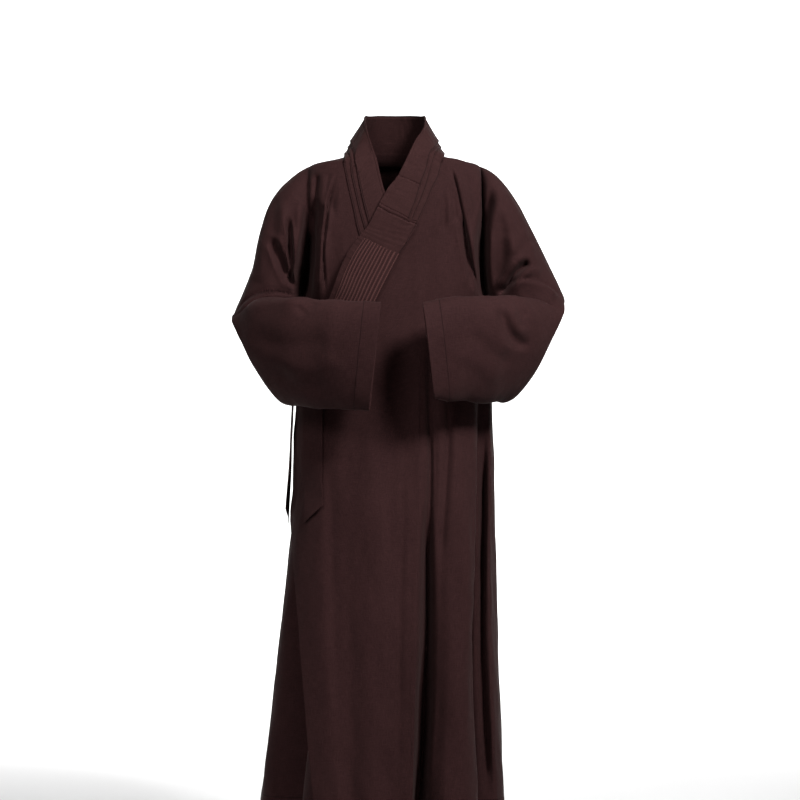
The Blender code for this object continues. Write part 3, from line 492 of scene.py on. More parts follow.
def back_creases(p):
    out = np.zeros(p.shape[:-1])
    for name, kind, mm, half, pts in CREASES_BACK:
        out += crease(p[..., 0] / UNIT, p[..., 2] / UNIT, kind, mm, half / UNIT,
                      [(a / UNIT, b / UNIT) for a, b in pts])
    return out


def rough(p, calm=1.0, big=1.0):
    """Small unevenness of hanging cloth."""
    around = np.arctan2(p[..., 0], -p[..., 1]) * 0.2
    out = 0.0012 * big * ripple(around, p[..., 2], W_BIG) + 0.00045 * ripple(around, p[..., 2], W_MID)
    out += 0.00010 * ripple(around, p[..., 2], W_FINE)
    return out * calm


CALM_L = [((s[1][0] + s[2][0]) / 2, (s[1][1] + s[2][1]) / 2) for s in COLLAR_INNER]
CALM_R = [((s[1][0] + s[2][0]) / 2, (s[1][1] + s[2][1]) / 2) for s in COLLAR_OUTER]


def calm_near(p):
    """0 under the collar and close to it, 1 away from it."""
    u, v = seen(p)
    d1, _, _ = to_line(u, v, CALM_L)
    d2, _, _ = to_line(u, v, CALM_R)
    d = np.minimum(d1, d2)
    return np.where(p[..., 1] < 0.02, smooth((d - 17) / 14), 1.0) * smooth((-p[..., 2] - 0.012) / 0.05)


# ------------------------------------------------------------------ meshes
def grid_quads(rows, cols, wrap=False, start=0):
    i, j = np.meshgrid(np.arange(rows - 1), np.arange(cols if wrap else cols - 1), indexing="ij")
    a = start + i * cols + j
    b = start + i * cols + (j + 1) % cols
    c = start + (i + 1) * cols + (j + 1) % cols
    d = start + (i + 1) * cols + j
    return np.stack([a, b, c, d], -1).reshape(-1, 4)


def grid_normals(g, wrap=False):
    gi = np.gradient(g, axis=0)
    if wrap:
        gj = (np.roll(g, -1, 1) - np.roll(g, 1, 1)) / 2
    else:
        gj = np.gradient(g, axis=1)
    return unit(np.cross(gi, gj))


def make_piece(name, verts, faces, uv=None, normals=None, mats=()):
    mesh = bpy.data.meshes.new(name)
    mesh.vertices.add(len(verts))
    mesh.vertices.foreach_set("co", np.asarray(verts, np.float32).ravel())
    faces = np.asarray(faces, np.int32)
    mesh.loops.add(faces.size)
    mesh.loops.foreach_set("vertex_index", faces.ravel())
    mesh.polygons.add(len(faces))
    mesh.polygons.foreach_set("loop_start", np.arange(0, faces.size, faces.shape[1], dtype=np.int32))
    mesh.polygons.foreach_set("loop_total", np.full(len(faces), faces.shape[1], np.int32))
    mesh.update(calc_edges=True)
    mesh.validate()
    mesh.polygons.foreach_set("use_smooth", np.ones(len(mesh.polygons), bool))
    if uv is not None:
        layer = mesh.uv_layers.new(name="cloth")
        idx = np.zeros(len(mesh.loops), np.int32)
        mesh.loops.foreach_get("vertex_index", idx)
        layer.data.foreach_set("uv", np.asarray(uv, np.float32)[idx].ravel())
    if normals is not None:
        mesh.normals_split_custom_set_from_vertices([tuple(v) for v in normals])
    obj = bpy.data.objects.new(name, mesh)
    bpy.context.scene.collection.objects.link(obj)
    for m in mats:
        mesh.materials.append(m)
    return obj


def cloth_wall(name, g, n, mat, wall=WALL, wrap=False, uv=None, soft=True, rim=0.5):
    """Closed wall on a grid: outer and inner skins and a rounded rim."""
    rows, cols = g.shape[:2]
    if uv is None:
        dj = np.concatenate([np.zeros((rows, 1)), np.cumsum(np.linalg.norm(np.diff(g, axis=1), axis=-1), 1)], 1)
        di = np.concatenate([np.zeros((1, cols)), np.cumsum(np.linalg.norm(np.diff(g, axis=0), axis=-1), 0)], 0)
        uv = np.stack([dj - dj.mean(1, keepdims=True) * 0, di], -1)
    if np.asarray(wall).ndim == 0:
        wall = np.full((rows, cols), float(wall))
    outer = (g + n * wall[..., None] * 0.5).reshape(-1, 3)
    inner = (g - n * wall[..., None] * 0.5).reshape(-1, 3)
    verts = [outer, inner]
    q = grid_quads(rows, cols, wrap)
    # facing
    c = g.reshape(-1, 3)
    fn = np.cross(c[q[:, 1]] - c[q[:, 0]], c[q[:, 3]] - c[q[:, 0]])
    if (fn * n.reshape(-1, 3)[q[:, 0]]).sum() < 0:
        q = q[:, ::-1]
    size = rows * cols
    faces = [q, q[:, ::-1] + size]
    # border loop with a middle rim line pushed out a little
    if wrap:
        loops = [[(0, j) for j in range(cols)], [(rows - 1, j) for j in range(cols)]]
    else:
        loops = [[(0, j) for j in range(cols)] + [(i, cols - 1) for i in range(1, rows)]
                 + [(rows - 1, j) for j in range(cols - 2, -1, -1)] + [(i, 0) for i in range(rows - 2, 0, -1)]]
    uvs = [uv.reshape(-1, 2), uv.reshape(-1, 2)]
    count = 2 * size
    norms = [n.reshape(-1, 3), -n.reshape(-1, 3)]
    edge_pairs = set()
    lookup = {}
    for f in q:
        for k in range(4):
            lookup[(int(f[k]), int(f[(k + 1) % 4]))] = True
    for lp in loops:
        idx = [i * cols + j for i, j in lp]
        m = len(idx)
        mids = []
        for k in range(m):
            i, j = lp[k]
            inn_i = min(max(i, 1), rows - 2)
            inn_j = j if wrap else min(max(j, 1), cols - 2)
            away = unit(g[i, j] - g[inn_i, inn_j])
            mids.append(g[i, j] + away * wall[i, j] * rim * 0.5)
        mids = np.array(mids)
        verts.append(mids)
        uvs.append(uv.reshape(-1, 2)[idx])
        norms.append(unit(mids - g.reshape(-1, 3)[idx] + 1e-9))
        for k in range(m):
            a, b = idx[k], idx[(k + 1) % m]
            if lookup.get((a, b)):
                faces_k = [(b, a, count + k, count + (k + 1) % m),
                           (count + (k + 1) % m, count + k, a + size, b + size)]
            else:
                faces_k = [(a, b, count + (k + 1) % m, count + k),
                           (count + k, count + (k + 1) % m, b + size, a + size)]
            faces.append(np.array(faces_k))
        count += m
    verts = np.concatenate(verts)
    faces = np.concatenate(faces)
    obj = make_piece(name, verts, faces, np.concatenate(uvs), np.concatenate(norms) if soft else None, (mat,))
    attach(obj, "root")
    area = float(np.linalg.norm(np.cross(np.diff(g, axis=0)[:, :-1], np.diff(g, axis=1)[:-1]), axis=-1).sum())
    obj["area"] = area
    return obj, area


# ------------------------------------------------------------------ panels
STEPS = 78                       # round the armhole, each half
TOP = [0.010, 0.004, -0.0012, -0.004, -0.007, -0.010, -0.0128, -0.0155]
ARMS = [ARM_MID + ARM_HALF * math.cos(math.pi * k / STEPS) for k in range(STEPS + 1)]
LOW = list(np.linspace(PIT, HEM, 92)[1:])
ALL = TOP + ARMS + LOW
NECK_OUT = tuple((s[3][0] - 7, s[3][1] - 1) for s in COLLAR_OUTER[:7])
NECK_IN = tuple((s[3][0] + 7, s[3][1] - 1) for s in COLLAR_INNER)


def left_edge(z):
    if z > -0.006:
        return 55.0
    b = line(SEAM_LINE, z)
    if z > at(400, 226, -0.13)[1]:
        return max(line(NECK_OUT, z), b)
    return b


def over_edge(z):
    if z > at(400, 405, -0.1)[1]:
        return line(OVER_TOP, z)
    return line(tuple(zip(FOLDS_OVER[0][1], FOLD_AT)), z)


def right_edge(z):
    if z > -0.006:
        return -55.0
    cut = at(400, 290, -0.13)[1]
    a = line(NECK_IN, z)
    free = spot(404, 400)[0]
    return a if z > cut else a + (free - a) * float(smooth((cut - z) / 0.10))


def spread(keys, n):
    """n+1 angles with as many in each stretch as it is wide on the cloth."""
    keys = np.asarray(keys, float)
    gaps = np.diff(keys)
    w = np.sqrt(np.maximum(gaps, 0.5))
    cum = np.concatenate([[0], np.cumsum(w)]) / w.sum()
    return np.interp(np.linspace(0, 1, n + 1), cum, keys)


def grid_left(n=84):
    g, b = [], []
    for z in ALL:
        e = left_edge(z)
        flat = np.linspace(e, 90.0, n + 1)
        keys = [line(tuple(zip(us, FOLD_AT)), z) for _, us, _ in FOLDS_LEFT] + [90.0]
        t = float(smooth((-0.20 - z) / 0.22))
        d = flat + (spread(keys, n) - flat) * t
        f = fold_row(FOLDS_LEFT, z)
        out = lift(d) - f(d) - dip(z)
        g.append(np.concatenate([place(d, z, out), d[:, None]], 1))
    return np.array(g)


def grid_right(n=60):
    g = []
    for z in ALL:
        d = np.linspace(-90.0, right_edge(z), n + 1)
        # hangs back behind the free edge, low down
        low = float(smooth((-0.52 - z) / 0.5))
        sink = 0.066 * low * np.exp(-((d + 61) / 13.5) ** 2) + 0.014 * low * smooth((d + 60) / 20)
        g.append(np.concatenate([place(d, z, -dip(z) - sink), d[:, None]], 1))
    return np.array(g)


def grid_back(n=104):
    g = []
    for z in ALL:
        t = (-0.457 - z) / (-0.457 - HEM)
        keys = [a + (b - a) * max(0.0, t) for _, a, b, _, _ in FOLDS_BACK]
        k = float(smooth((-0.10 - z) / 0.2))
        flat = np.linspace(90.0, 270.0, n + 1)
        d = flat + (spread(keys, n) - flat) * k
        g.append(np.concatenate([place(d, z, -back_row(z)(d) - dip(z)), d[:, None]], 1))
    return np.array(g)


def loop_rows(table, side, phi):
    rows = []
    for top, bot, front, back, turn in table:
        top, bot = np.array(top), np.array(bot)
        a = math.radians(turn)
        n = np.array((side * math.sin(a), -math.cos(a), 0.0))
        c, s = np.cos(phi), np.sin(phi)
        h = np.where(s > 0, front, back) * (1 + 0.22 * c)
        rows.append((top + bot) / 2 + (top - bot) / 2 * c[:, None]
                    + n * (h * np.sign(s) * np.abs(s) ** 0.9)[:, None])
    return np.array(rows)


def clear(p, gap=0.0075):
    x, y, z = p[..., 0], p[..., 1], p[..., 2]
    wide = np.where(x > 0, WIDE_P(z), WIDE_N(z))
    d = angle_at(np.clip(x, -wide * 0.97, wide * 0.97), z)
    q = place(d, z, np.full(x.shape, 0.022))[..., 1] - gap
    hit = (np.abs(x) < wide * 0.97) & (y < 0) & (y > q)
    out = p.copy()
    out[..., 1] = np.where(hit, q, y)
    return out


def grid_sleeve(table, side, rings=196):
    phi = np.concatenate([np.pi * np.arange(STEPS + 1) / STEPS,
                          np.pi + np.pi * np.arange(1, STEPS) / STEPS])
    z = ARM_MID + ARM_HALF * np.cos(phi)
    deg = np.where(phi <= np.pi + 1e-9, 90.0 * side, 90.0 if side > 0 else 270.0)
    first = form(deg, z)
    # the two halves of the armhole stand in front of and behind the side line
    first[:, 1] = np.where(phi <= np.pi + 1e-9, -arm(z), arm(z))
    keys = np.concatenate([[first], loop_rows(table, side, phi)])
    ts = np.linspace(0, 10, rings)
    g = catmull(keys, ts)
    late = clear(g)
    w = smooth((ts - 4.6) / 0.8)[:, None, None]
    return g + (late - g) * w, phi, ts


R_LEFT, R_RIGHT, R_BACK = grid_left(), grid_right(), grid_back()
G_LEFT, G_RIGHT, G_BACK = R_LEFT[..., :3], R_RIGHT[..., :3], R_BACK[..., :3]
G_SL, PHI, TS = grid_sleeve(SLEEVE_L, 1)
G_SR, _, _ = grid_sleeve(SLEEVE_R, -1)


def reach(k):
    """How much of the front and back creases each point of shell part k takes."""
    if k < 3:
        d = (R_LEFT, R_RIGHT, R_BACK)[k][..., 3]
        z = parts[k][0][..., 2]
        edge = np.minimum(d - 90, 270 - d) if k == 2 else 90 - np.abs(d)
        m = np.maximum(smooth(edge / 6), smooth(arm(z) / 0.03))
        return (m * 0, m) if k == 2 else (m, m * 0)
    y = parts[k][0][..., 1]
    ones = np.ones(y.shape)
    return (smooth(np.sin(PHI) * 2.2)[None, :] * ones,
            smooth(-np.sin(PHI) * 2.2)[None, :] * smooth((y + 0.10) / 0.06))


# weld the shell so that the shading runs on over shoulders, sides and armholes
parts = [(G_LEFT, False), (G_RIGHT, False), (G_BACK, False), (G_SL, True), (G_SR, True)]
flat_pts = np.concatenate([g.reshape(-1, 3) for g, _ in parts])
_, first_i, weld = np.unique(np.round(flat_pts / 0.00004).astype(np.int64), axis=0,
                             return_index=True, return_inverse=True)
weld = weld.reshape(-1)
V = flat_pts[first_i]
quads = []
start = 0
starts = []
for g, wrap in parts:
    q = grid_quads(g.shape[0], g.shape[1], wrap, start)
    c = g.reshape(-1, 3)
    l = q - start
    fn = np.cross(c[l[:, 1]] - c[l[:, 0]], c[l[:, 3]] - c[l[:, 0]])
    mid = c[l].mean(1)
    if wrap:
        ring = g.mean(1)
        ref = mid - np.repeat(ring[:-1], g.shape[1], axis=0)
    else:
        ref = mid * np.array((1, 1, 0))
    if (fn * ref).sum() < 0:
        q = q[:, ::-1]
    quads.append(q)
    starts.append(start)
    start += g.shape[0] * g.shape[1]
Q = weld[np.concatenate(quads)]


def weld_normals(v):
    fn = np.cross(v[Q[:, 2]] - v[Q[:, 0]], v[Q[:, 3]] - v[Q[:, 1]])
    n = np.zeros_like(v)
    for k in range(4):
        np.add.at(n, Q[:, k], fn)
    return unit(n)


E = np.unique(np.sort(np.concatenate([Q[:, [0, 1]], Q[:, [1, 2]], Q[:, [2, 3]], Q[:, [3, 0]]]), axis=1), axis=0)
E = E[E[:, 0] != E[:, 1]]


def relax(v, weight, times=6, pull=0.5):
    """Even out the cloth where weight > 0."""
    deg = np.bincount(E.ravel(), minlength=len(v)).astype(float)
    for _ in range(times):
        s = np.zeros_like(v)
        np.add.at(s, E[:, 0], v[E[:, 1]])
        np.add.at(s, E[:, 1], v[E[:, 0]])
        mean = s / np.maximum(deg, 1)[:, None]
        v = v + (mean - v) * (weight * pull)[:, None]
    return v


is_sleeve = np.zeros(len(V), bool)
is_body = np.zeros(len(V), bool)
for k, (g, wrap) in enumerate(parts):
    idx = weld[starts[k]:starts[k] + g.shape[0] * g.shape[1]]
    (is_sleeve if wrap else is_body)[idx] = True
take_f, take_b = np.zeros(len(V)), np.zeros(len(V))
for k in range(5):
    idx = weld[starts[k]:starts[k] + parts[k][0].shape[0] * parts[k][0].shape[1]]
    f, b = reach(k)
    np.maximum.at(take_f, idx, f.reshape(-1))
    np.maximum.at(take_b, idx, b.reshape(-1))
# the cloth runs over the shoulder and the armhole without a ledge
dist = np.abs(np.abs(V[:, 0]) - 0.160)
soft_w = smooth((0.050 - dist) / 0.035) * smooth((-V[:, 2] - 0.006) / 0.006) * smooth((V[:, 2] - PIT + 0.01) / 0.04)
V = relax(V, soft_w, 70)
# round the turn of the sleeve at the elbow
t_of = np.zeros(len(V))
for k in (3, 4):
    g = parts[k][0]
    t_of[weld[starts[k]:starts[k] + g.shape[0] * g.shape[1]]] = np.repeat(TS, g.shape[1])
bend = smooth((t_of - 3.5) / 1.2) * smooth((7.4 - t_of) / 1.2)
eased = relax(V, bend, 170)
V[:, 1] = eased[:, 1]
V = relax(V, bend, 14)
on_arm = is_sleeve & ~is_body
f_body, f_arm = front_creases(V, "body"), front_creases(V, "sleeve")
near_seam = smooth(1 - np.abs(np.abs(V[:, 0]) - 0.157) / 0.020)
ahead = np.where(on_arm, f_arm, f_body)
V[:, 1] += back_creases(V) * take_b - ahead * take_f * np.where(on_arm, 1.0, calm_near(V))
V = relax(V, near_seam * (V[:, 2] > PIT) * (V[:, 2] < -0.02), 2, 0.4)
N = weld_normals(V)
big = np.where(on_arm, 1.5, 1.0)
V = V + N * rough(V, calm_near(V), big)[:, None]
N = weld_normals(V)


def back_to_grid(k):
    g, wrap = parts[k]
    idx = weld[starts[k]:starts[k] + g.shape[0] * g.shape[1]]
    return V[idx].reshape(g.shape), N[idx].reshape(g.shape)


# ------------------------------------------------------------------ materials
def nodes_of(mat):
    mat.use_nodes = True
    nt = mat.node_tree
    return nt, nt.nodes["Principled BSDF"]


def node(nt, kind, **props):
    n = nt.nodes.new(kind)
    for k, v in props.items():
        setattr(n, k, v)
    return n


def cloth_material(name, base, light, rough=0.86, sheen=0.03, weave=1900.0, shade_line_at=None):
    """Plain linen-like weave with slubs: threads both ways, soft colour drift, nap."""
    mat = bpy.data.materials.new(name)
    nt, bsdf = nodes_of(mat)
    link = nt.links.new
    uv = node(nt, "ShaderNodeUVMap", uv_map="cloth")
    geo = node(nt, "ShaderNodeTexCoord")

    def mapped(src, scale):
        m = node(nt, "ShaderNodeMapping")
        m.inputs["Scale"].default_value = scale
        link(src, m.inputs["Vector"])
        return m.outputs["Vector"]

    def noise(vec, scale, detail=2.0, rough_=0.5):
        t = node(nt, "ShaderNodeTexNoise")
        t.inputs["Scale"].default_value = scale
        t.inputs["Detail"].default_value = detail
        t.inputs["Roughness"].default_value = rough_
        link(vec, t.inputs["Vector"])
        return t.outputs["Fac"]

    def math_(op, a, b=None, c=None):
        m = node(nt, "ShaderNodeMath", operation=op)
        for i, val in enumerate((a, b, c)):
            if val is None:
                continue
            if isinstance(val, (int, float)):
                m.inputs[i].default_value = val
            else:
                link(val, m.inputs[i])
        return m.outputs[0]

    # warp and weft slubs: long thin streaks in each thread direction
    warp = noise(mapped(uv.outputs["UV"], (1300.0, 60.0, 1.0)), 1.0, 2.0, 0.6)
    weft = noise(mapped(uv.outputs["UV"], (60.0, 1300.0, 1.0)), 1.0, 2.0, 0.6)
    wave1 = node(nt, "ShaderNodeTexWave", wave_type="BANDS", bands_direction="X")
    wave1.inputs["Scale"].default_value = weave / 20.0
    wave1.inputs["Distortion"].default_value = 0.6
    wave2 = node(nt, "ShaderNodeTexWave", wave_type="BANDS", bands_direction="Y")
    wave2.inputs["Scale"].default_value = weave / 20.0
    wave2.inputs["Distortion"].default_value = 0.6
    link(uv.outputs["UV"], wave1.inputs["Vector"])
    link(uv.outputs["UV"], wave2.inputs["Vector"])
    threads = math_("MULTIPLY", wave1.outputs["Fac"], wave2.outputs["Fac"])
    streak = math_("ADD", warp, weft)
    drift = noise(geo.outputs["Object"], 7.0, 3.0, 0.55)
    fine = noise(geo.outputs["Object"], 420.0, 2.0, 0.6)
    tone = math_("ADD", math_("MULTIPLY", math_("SUBTRACT", streak, 1.0), 0.8),
                 math_("ADD", math_("MULTIPLY", math_("SUBTRACT", drift, 0.5), 0.55),
                       math_("MULTIPLY", math_("SUBTRACT", fine, 0.5), 0.5)))
    tone = math_("ADD", tone, 0.5)
    ramp = node(nt, "ShaderNodeValToRGB")
    ramp.color_ramp.elements[0].position = 0.1
    ramp.color_ramp.elements[1].position = 0.95
    ramp.color_ramp.elements[0].color = (*base, 1)
    ramp.color_ramp.elements[1].color = (*light, 1)
    link(tone, ramp.inputs["Fac"])
    link(ramp.outputs["Color"], bsdf.inputs["Base Color"])
    seam = None
    if shade_line_at is not None:
        # groove along the top of the turned hem and along the edges of the collar layers: a narrow dent in the bump,
        # with its shade painted in as a narrow dark line
        sep = node(nt, "ShaderNodeSeparateXYZ")
        link(uv.outputs["UV"], sep.inputs[0])
        off = math_("ABSOLUTE", math_("SUBTRACT", sep.outputs["Y"], shade_line_at))
        seam = math_("SUBTRACT", 1.0, math_("MINIMUM", math_("MULTIPLY", off, 1 / 0.0013), 1.0))
        # painted shade: the base colour darkened to 30 % along the groove line
        mix = node(nt, "ShaderNodeMix", data_type="RGBA")
        link(math_("MULTIPLY", seam, 0.75), mix.inputs[0])
        link(ramp.outputs["Color"], mix.inputs[6])
        mix.inputs[7].default_value = (base[0] * 0.3, base[1] * 0.3, base[2] * 0.3, 1)
        link(mix.outputs[2], bsdf.inputs["Base Color"])
    r = math_("ADD", math_("MULTIPLY", fine, 0.10), rough - 0.05)
    link(r, bsdf.inputs["Roughness"])
    bsdf.inputs["Specular IOR Level"].default_value = 0.07
    bsdf.inputs["Sheen Weight"].default_value = sheen
    bsdf.inputs["Sheen Roughness"].default_value = 0.5
    bsdf.inputs["Sheen Tint"].default_value = (0.75, 0.55, 0.52, 1)
    height = math_("ADD", math_("MULTIPLY", streak, 0.6),
                   math_("ADD", math_("MULTIPLY", threads, 0.35), math_("MULTIPLY", fine, 0.35)))
    if seam is not None:
        height = math_("SUBTRACT", height, math_("MULTIPLY", seam, 2.0))
    bump = node(nt, "ShaderNodeBump")
    bump.inputs["Strength"].default_value = 0.42
    bump.inputs["Distance"].default_value = 0.0005
    link(height, bump.inputs["Height"])
    link(bump.outputs["Normal"], bsdf.inputs["Normal"])
    return mat, nt, bsdf, ramp, bump


DARK = (0.0130, 0.0042, 0.0044)
LIGHT = (0.0330, 0.0132, 0.0132)
# painted shade: the dark line near the edge of each piece stands in for the shade in the groove of the turned hem, and
# of the layer edges on the collar
cloth, *_ = cloth_material("robe_cloth", DARK, LIGHT, shade_line_at=0.0245)
sleeve_cloth, *_ = cloth_material("sleeve_cloth", DARK, LIGHT, shade_line_at=0.030)
collar_mat, *_ = cloth_material("collar_cloth", (0.0140, 0.0046, 0.0046), (0.0350, 0.0140, 0.0138), 0.84, shade_line_at=0.0017)
tie_mat, *_ = cloth_material("tie_cloth", (0.0125, 0.0041, 0.0043), (0.0315, 0.0126, 0.0126), 0.86)

# ------------------------------------------------------------------ shell pieces
names = ("robe_front_left", "robe_front_right", "robe_back", "robe_sleeve_left", "robe_sleeve_right")
nodes = ("front_left", "front_right", "back", "sleeve_left", "sleeve_right")
cuts = {}
for k, nm in enumerate(names):
    g, n = back_to_grid(k)
    wall = np.full(g.shape[:2], WALL)
    if k < 3:
        # turned hem, 24 mm deep
        z = g[..., 2]
        hem_w = smooth((HEM + 0.0245 - z) / 0.0012)
        wall = wall + 0.0009 * hem_w
    else:
        along = TS[:, None] * np.ones((1, g.shape[1]))
        edge_cum = np.linalg.norm(np.diff(g, axis=0), axis=-1)
        back_len = np.cumsum(edge_cum[::-1], 0)[::-1]
        back_len = np.concatenate([back_len, np.zeros((1, g.shape[1]))])
        deep = 0.030
        wall = wall + 0.0016 * smooth((deep - back_len) / 0.0014)
        groove = np.exp(-((back_len - deep + 0.0022) / 0.0011) ** 2)
        g = g - n * (0.0012 * groove)[..., None]
    across = np.linalg.norm(np.diff(g, axis=1), axis=-1)
    u_run = np.concatenate([np.zeros((g.shape[0], 1)), np.cumsum(across, 1)], 1)
    u_run = u_run - u_run[:, u_run.shape[1] // 2][:, None]
    from_hem = g[..., 2] - HEM if k < 3 else back_len
    obj, area = cloth_wall(nm, g, n, cloth if k < 3 else sleeve_cloth, wall=wall, wrap=parts[k][1],
                           uv=np.stack([u_run, from_hem], -1))
    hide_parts(nodes[k])
    cuts[nm] = area

# ------------------------------------------------------------------ overlap
over_z = [-0.1397, -0.146, -0.152, -0.158, -0.163, -0.168, -0.174] + list(np.linspace(-0.18, -0.44, 46)) + list(np.linspace(-0.45, HEM, 100))
g = []
for z in over_z:
    e = over_edge(z)
    s_ = line(SEAM_LINE, z) + 0.35
    flat = np.linspace(e, s_, 61)
    keys = [line(tuple(zip(us, FOLD_AT)), z) for _, us, _ in FOLDS_OVER]
    keys[-1] = s_
    t = float(smooth((-0.40 - z) / 0.08))
    d = flat + (spread(keys, 60) - flat) * t
    f = fold_row(FOLDS_OVER, z)
    near = np.exp(-((s_ - d) / 2.2) ** 2)
    g.append(place(d, z, lift(d) - f(d) + (0.0007 + 0.0012 * float(smooth((-0.40 - z) / 0.06))) * near))
g = np.array(g)
n = grid_normals(g)
if (n[..., 1]).mean() > 0:
    n = -n
g[..., 1] -= front_creases(g, "over") * smooth((-g[..., 2] - 0.30) / 0.08)
g = g + n * rough(g, smooth((-g[..., 2] - 0.30) / 0.08))[..., None]
n = grid_normals(g)
if (n[..., 1]).mean() > 0:
    n = -n
wall = np.full(g.shape[:2], WALL) + 0.0009 * smooth((HEM + 0.0245 - g[..., 2]) / 0.0012)
dj = np.concatenate([np.zeros((g.shape[0], 1)), np.cumsum(np.linalg.norm(np.diff(g, axis=1), axis=-1), 1)], 1)
wall = wall + 0.0008 * smooth((0.012 - dj) / 0.001) * smooth((-0.46 - g[..., 2]) / 0.02)
over, cuts["robe_overlap"] = cloth_wall("robe_overlap", g, n, cloth, wall=wall, uv=np.stack([dj, g[..., 2] - HEM], -1))
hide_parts("front_overlap")

# ------------------------------------------------------------------ collar
st = []
for row in COLLAR_INNER:
    st.append([(spot(u, v)[0] + 360, spot(u, v)[1]) for u, v in row])
for row in COLLAR_BACK:
    st.append([(d, z) for d, z in row])
for row in COLLAR_OUTER:
    st.append([(spot(u, v, 0.022)[0] + 0, spot(u, v, 0.022)[1]) for u, v in row])
N_IN, N_BK = len(COLLAR_INNER), len(COLLAR_BACK)
LAST = len(st) - 1


def strip(ws, ts, rise, tighten=None):
    keys = []
    for i, row in enumerate(st):
        pts = []
        for w in ws:
            k = min(int(w), 2)
            f = w - k
            d = row[k][0] + (row[k + 1][0] - row[k][0]) * f
            z = row[k][1] + (row[k + 1][1] - row[k][1]) * f
            d = d - 360 if d > 270 else d
            up = float(lift(d)) if i >= N_IN + N_BK else 0.0
            pts.append(place(d, z, up + rise))
        keys.append(pts)
    g = catmull(np.array(keys), ts)
    n = grid_normals(g)
    if (n[..., 0] * g[..., 0] + n[..., 1] * g[..., 1] + n[..., 2] * 0.05).sum() < 0:
        n = -n
    return g, n


def arc(a):
    return np.concatenate([[0], np.cumsum(np.linalg.norm(np.diff(a, axis=0), axis=-1))])


BAND_UP = 0.0066


def edge_uv(g):
    """Along the strip, and in from its outer edge."""
    steps = np.linalg.norm(np.diff(g, axis=1), axis=-1)
    inward = np.concatenate([np.cumsum(steps[:, ::-1], 1)[:, ::-1], np.zeros((g.shape[0], 1))], 1)
    return np.stack([arc(g[:, g.shape[1] // 2])[:, None] * np.ones(g.shape[:2]), inward], -1)


def collar_band():
    ws = np.linspace(0, 1, 31)
    ts = np.linspace(0, LAST, 900)
    full, nf = strip(np.linspace(0, 2.999, 121), ts, BAND_UP)
    # below the double join the band runs out over the steps
    wide = 1 + 1.98 * smooth((ts - (N_IN + N_BK + 5.30)) / 0.22)
    k = ws[None, :] * wide[:, None] / 2.999 * 120
    k0 = np.minimum(k.astype(int), 119)
    kf = (k - k0)[..., None]
    r = np.arange(len(ts))[:, None]
    g = full[r, k0] * (1 - kf) + full[r, k0 + 1] * kf
    n = unit(nf[r, k0] * (1 - kf) + nf[r, k0 + 1] * kf)
    # rolled neck edge, soft crown across, faint pull marks along
    w = ws[None, :] * np.ones((len(ts), 1))
    run = arc(g[:, 15])[:, None] * np.ones((1, len(ws)))
    out = 0.0010 * np.exp(-((w - 0.035) / 0.028) ** 2) - 0.0005 * np.exp(-((w - 0.10) / 0.03) ** 2)
    out += 0.0005 * np.exp(-((w - 0.97) / 0.03) ** 2)
    out += 0.00035 * ripple(run, w * 0.05, W_MID) + 0.0002 * ripple(run * 1.0, w * 0.05, W_FINE)
    # cross-stitched joins on the outer side
    base = N_IN + N_BK
    tt = ts[:, None] * np.ones((1, len(ws)))
    for pos, skew, deep_ in ((base + 3.02, 0.10, 0.0014), (base + 5.25, 0.05, 0.0013), (base + 5.62, 0.30, 0.0015)):
        c = tt - (pos + skew * (w - 0.5))
        out -= deep_ * np.exp(-(c / 0.045) ** 2)
        out += 0.0005 * np.exp(-((c - 0.14) / 0.08) ** 2)
    g = g + n * out[..., None]
    n = grid_normals(g)
    if (n[..., 0] * g[..., 0] + n[..., 1] * g[..., 1] + n[..., 2] * 0.05).sum() < 0:
        n = -n
    o, cuts["robe_collar"] = cloth_wall("robe_collar", g, n, collar_mat, wall=0.0022, uv=edge_uv(g))
    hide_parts("collar")
    return g


BAND = collar_band()
stop = N_IN + N_BK + 5.55
for nm, nd, ws, rise in (("robe_collar_step_1", "collar_step_1", np.linspace(0.85, 2, 12), 0.0044),
                         ("robe_collar_step_2", "collar_step_2", np.linspace(1.7, 3, 12), 0.0025)):
    ts = np.linspace(0, stop, 300)
    g, n = strip(ws, ts, rise)
    ww = (ws - ws[0]) / (ws[-1] - ws[0])
    out = 0.0005 * np.exp(-((ww - 0.94) / 0.06) ** 2)
    g = g + n * (out[None, :] + 0.0002 * ripple(arc(g[:, 5])[:, None], ww[None, :] * 0.02, W_MID))[..., None]
    n2 = grid_normals(g)
    n = n2 * np.sign((n2 * n).sum(-1, keepdims=True))
    o, cuts[nm] = cloth_wall(nm, g, n, collar_mat, wall=0.0014, uv=edge_uv(g))
    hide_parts(nd)

# stitched block: close rows of running stitch along the collar
ROWS = 11
ts = np.linspace(N_IN + N_BK + 8.0, LAST, 260)
ws = np.linspace(0.155, 0.995, ROWS * 12 + 1)
g, n = strip(ws, ts, 0.0097)
ww = (ws - ws[0]) / (ws[-1] - ws[0])
run = arc(g[:, 60])
ph = ww * ROWS * 2 * math.pi
ridge = np.cos(ph)[None, :] * np.ones((len(ts), 1))
puck = 0.00022 * np.sin(run[:, None] / 0.0036 * 2 * math.pi + (np.floor(ww * ROWS + 0.5) * 1.9)[None, :])
groove = smooth((-ridge - 0.35) / 0.5)
out = 0.00055 * ridge - 0.0003 * groove + puck * groove
g = g + n * out[..., None]
n2 = grid_normals(g)
n = n2 * np.sign((n2 * n).sum(-1, keepdims=True))
uvb = np.stack([ww[None, :] * ROWS * np.ones((len(ts), 1)), run[:, None] * np.ones((1, len(ws)))], -1)


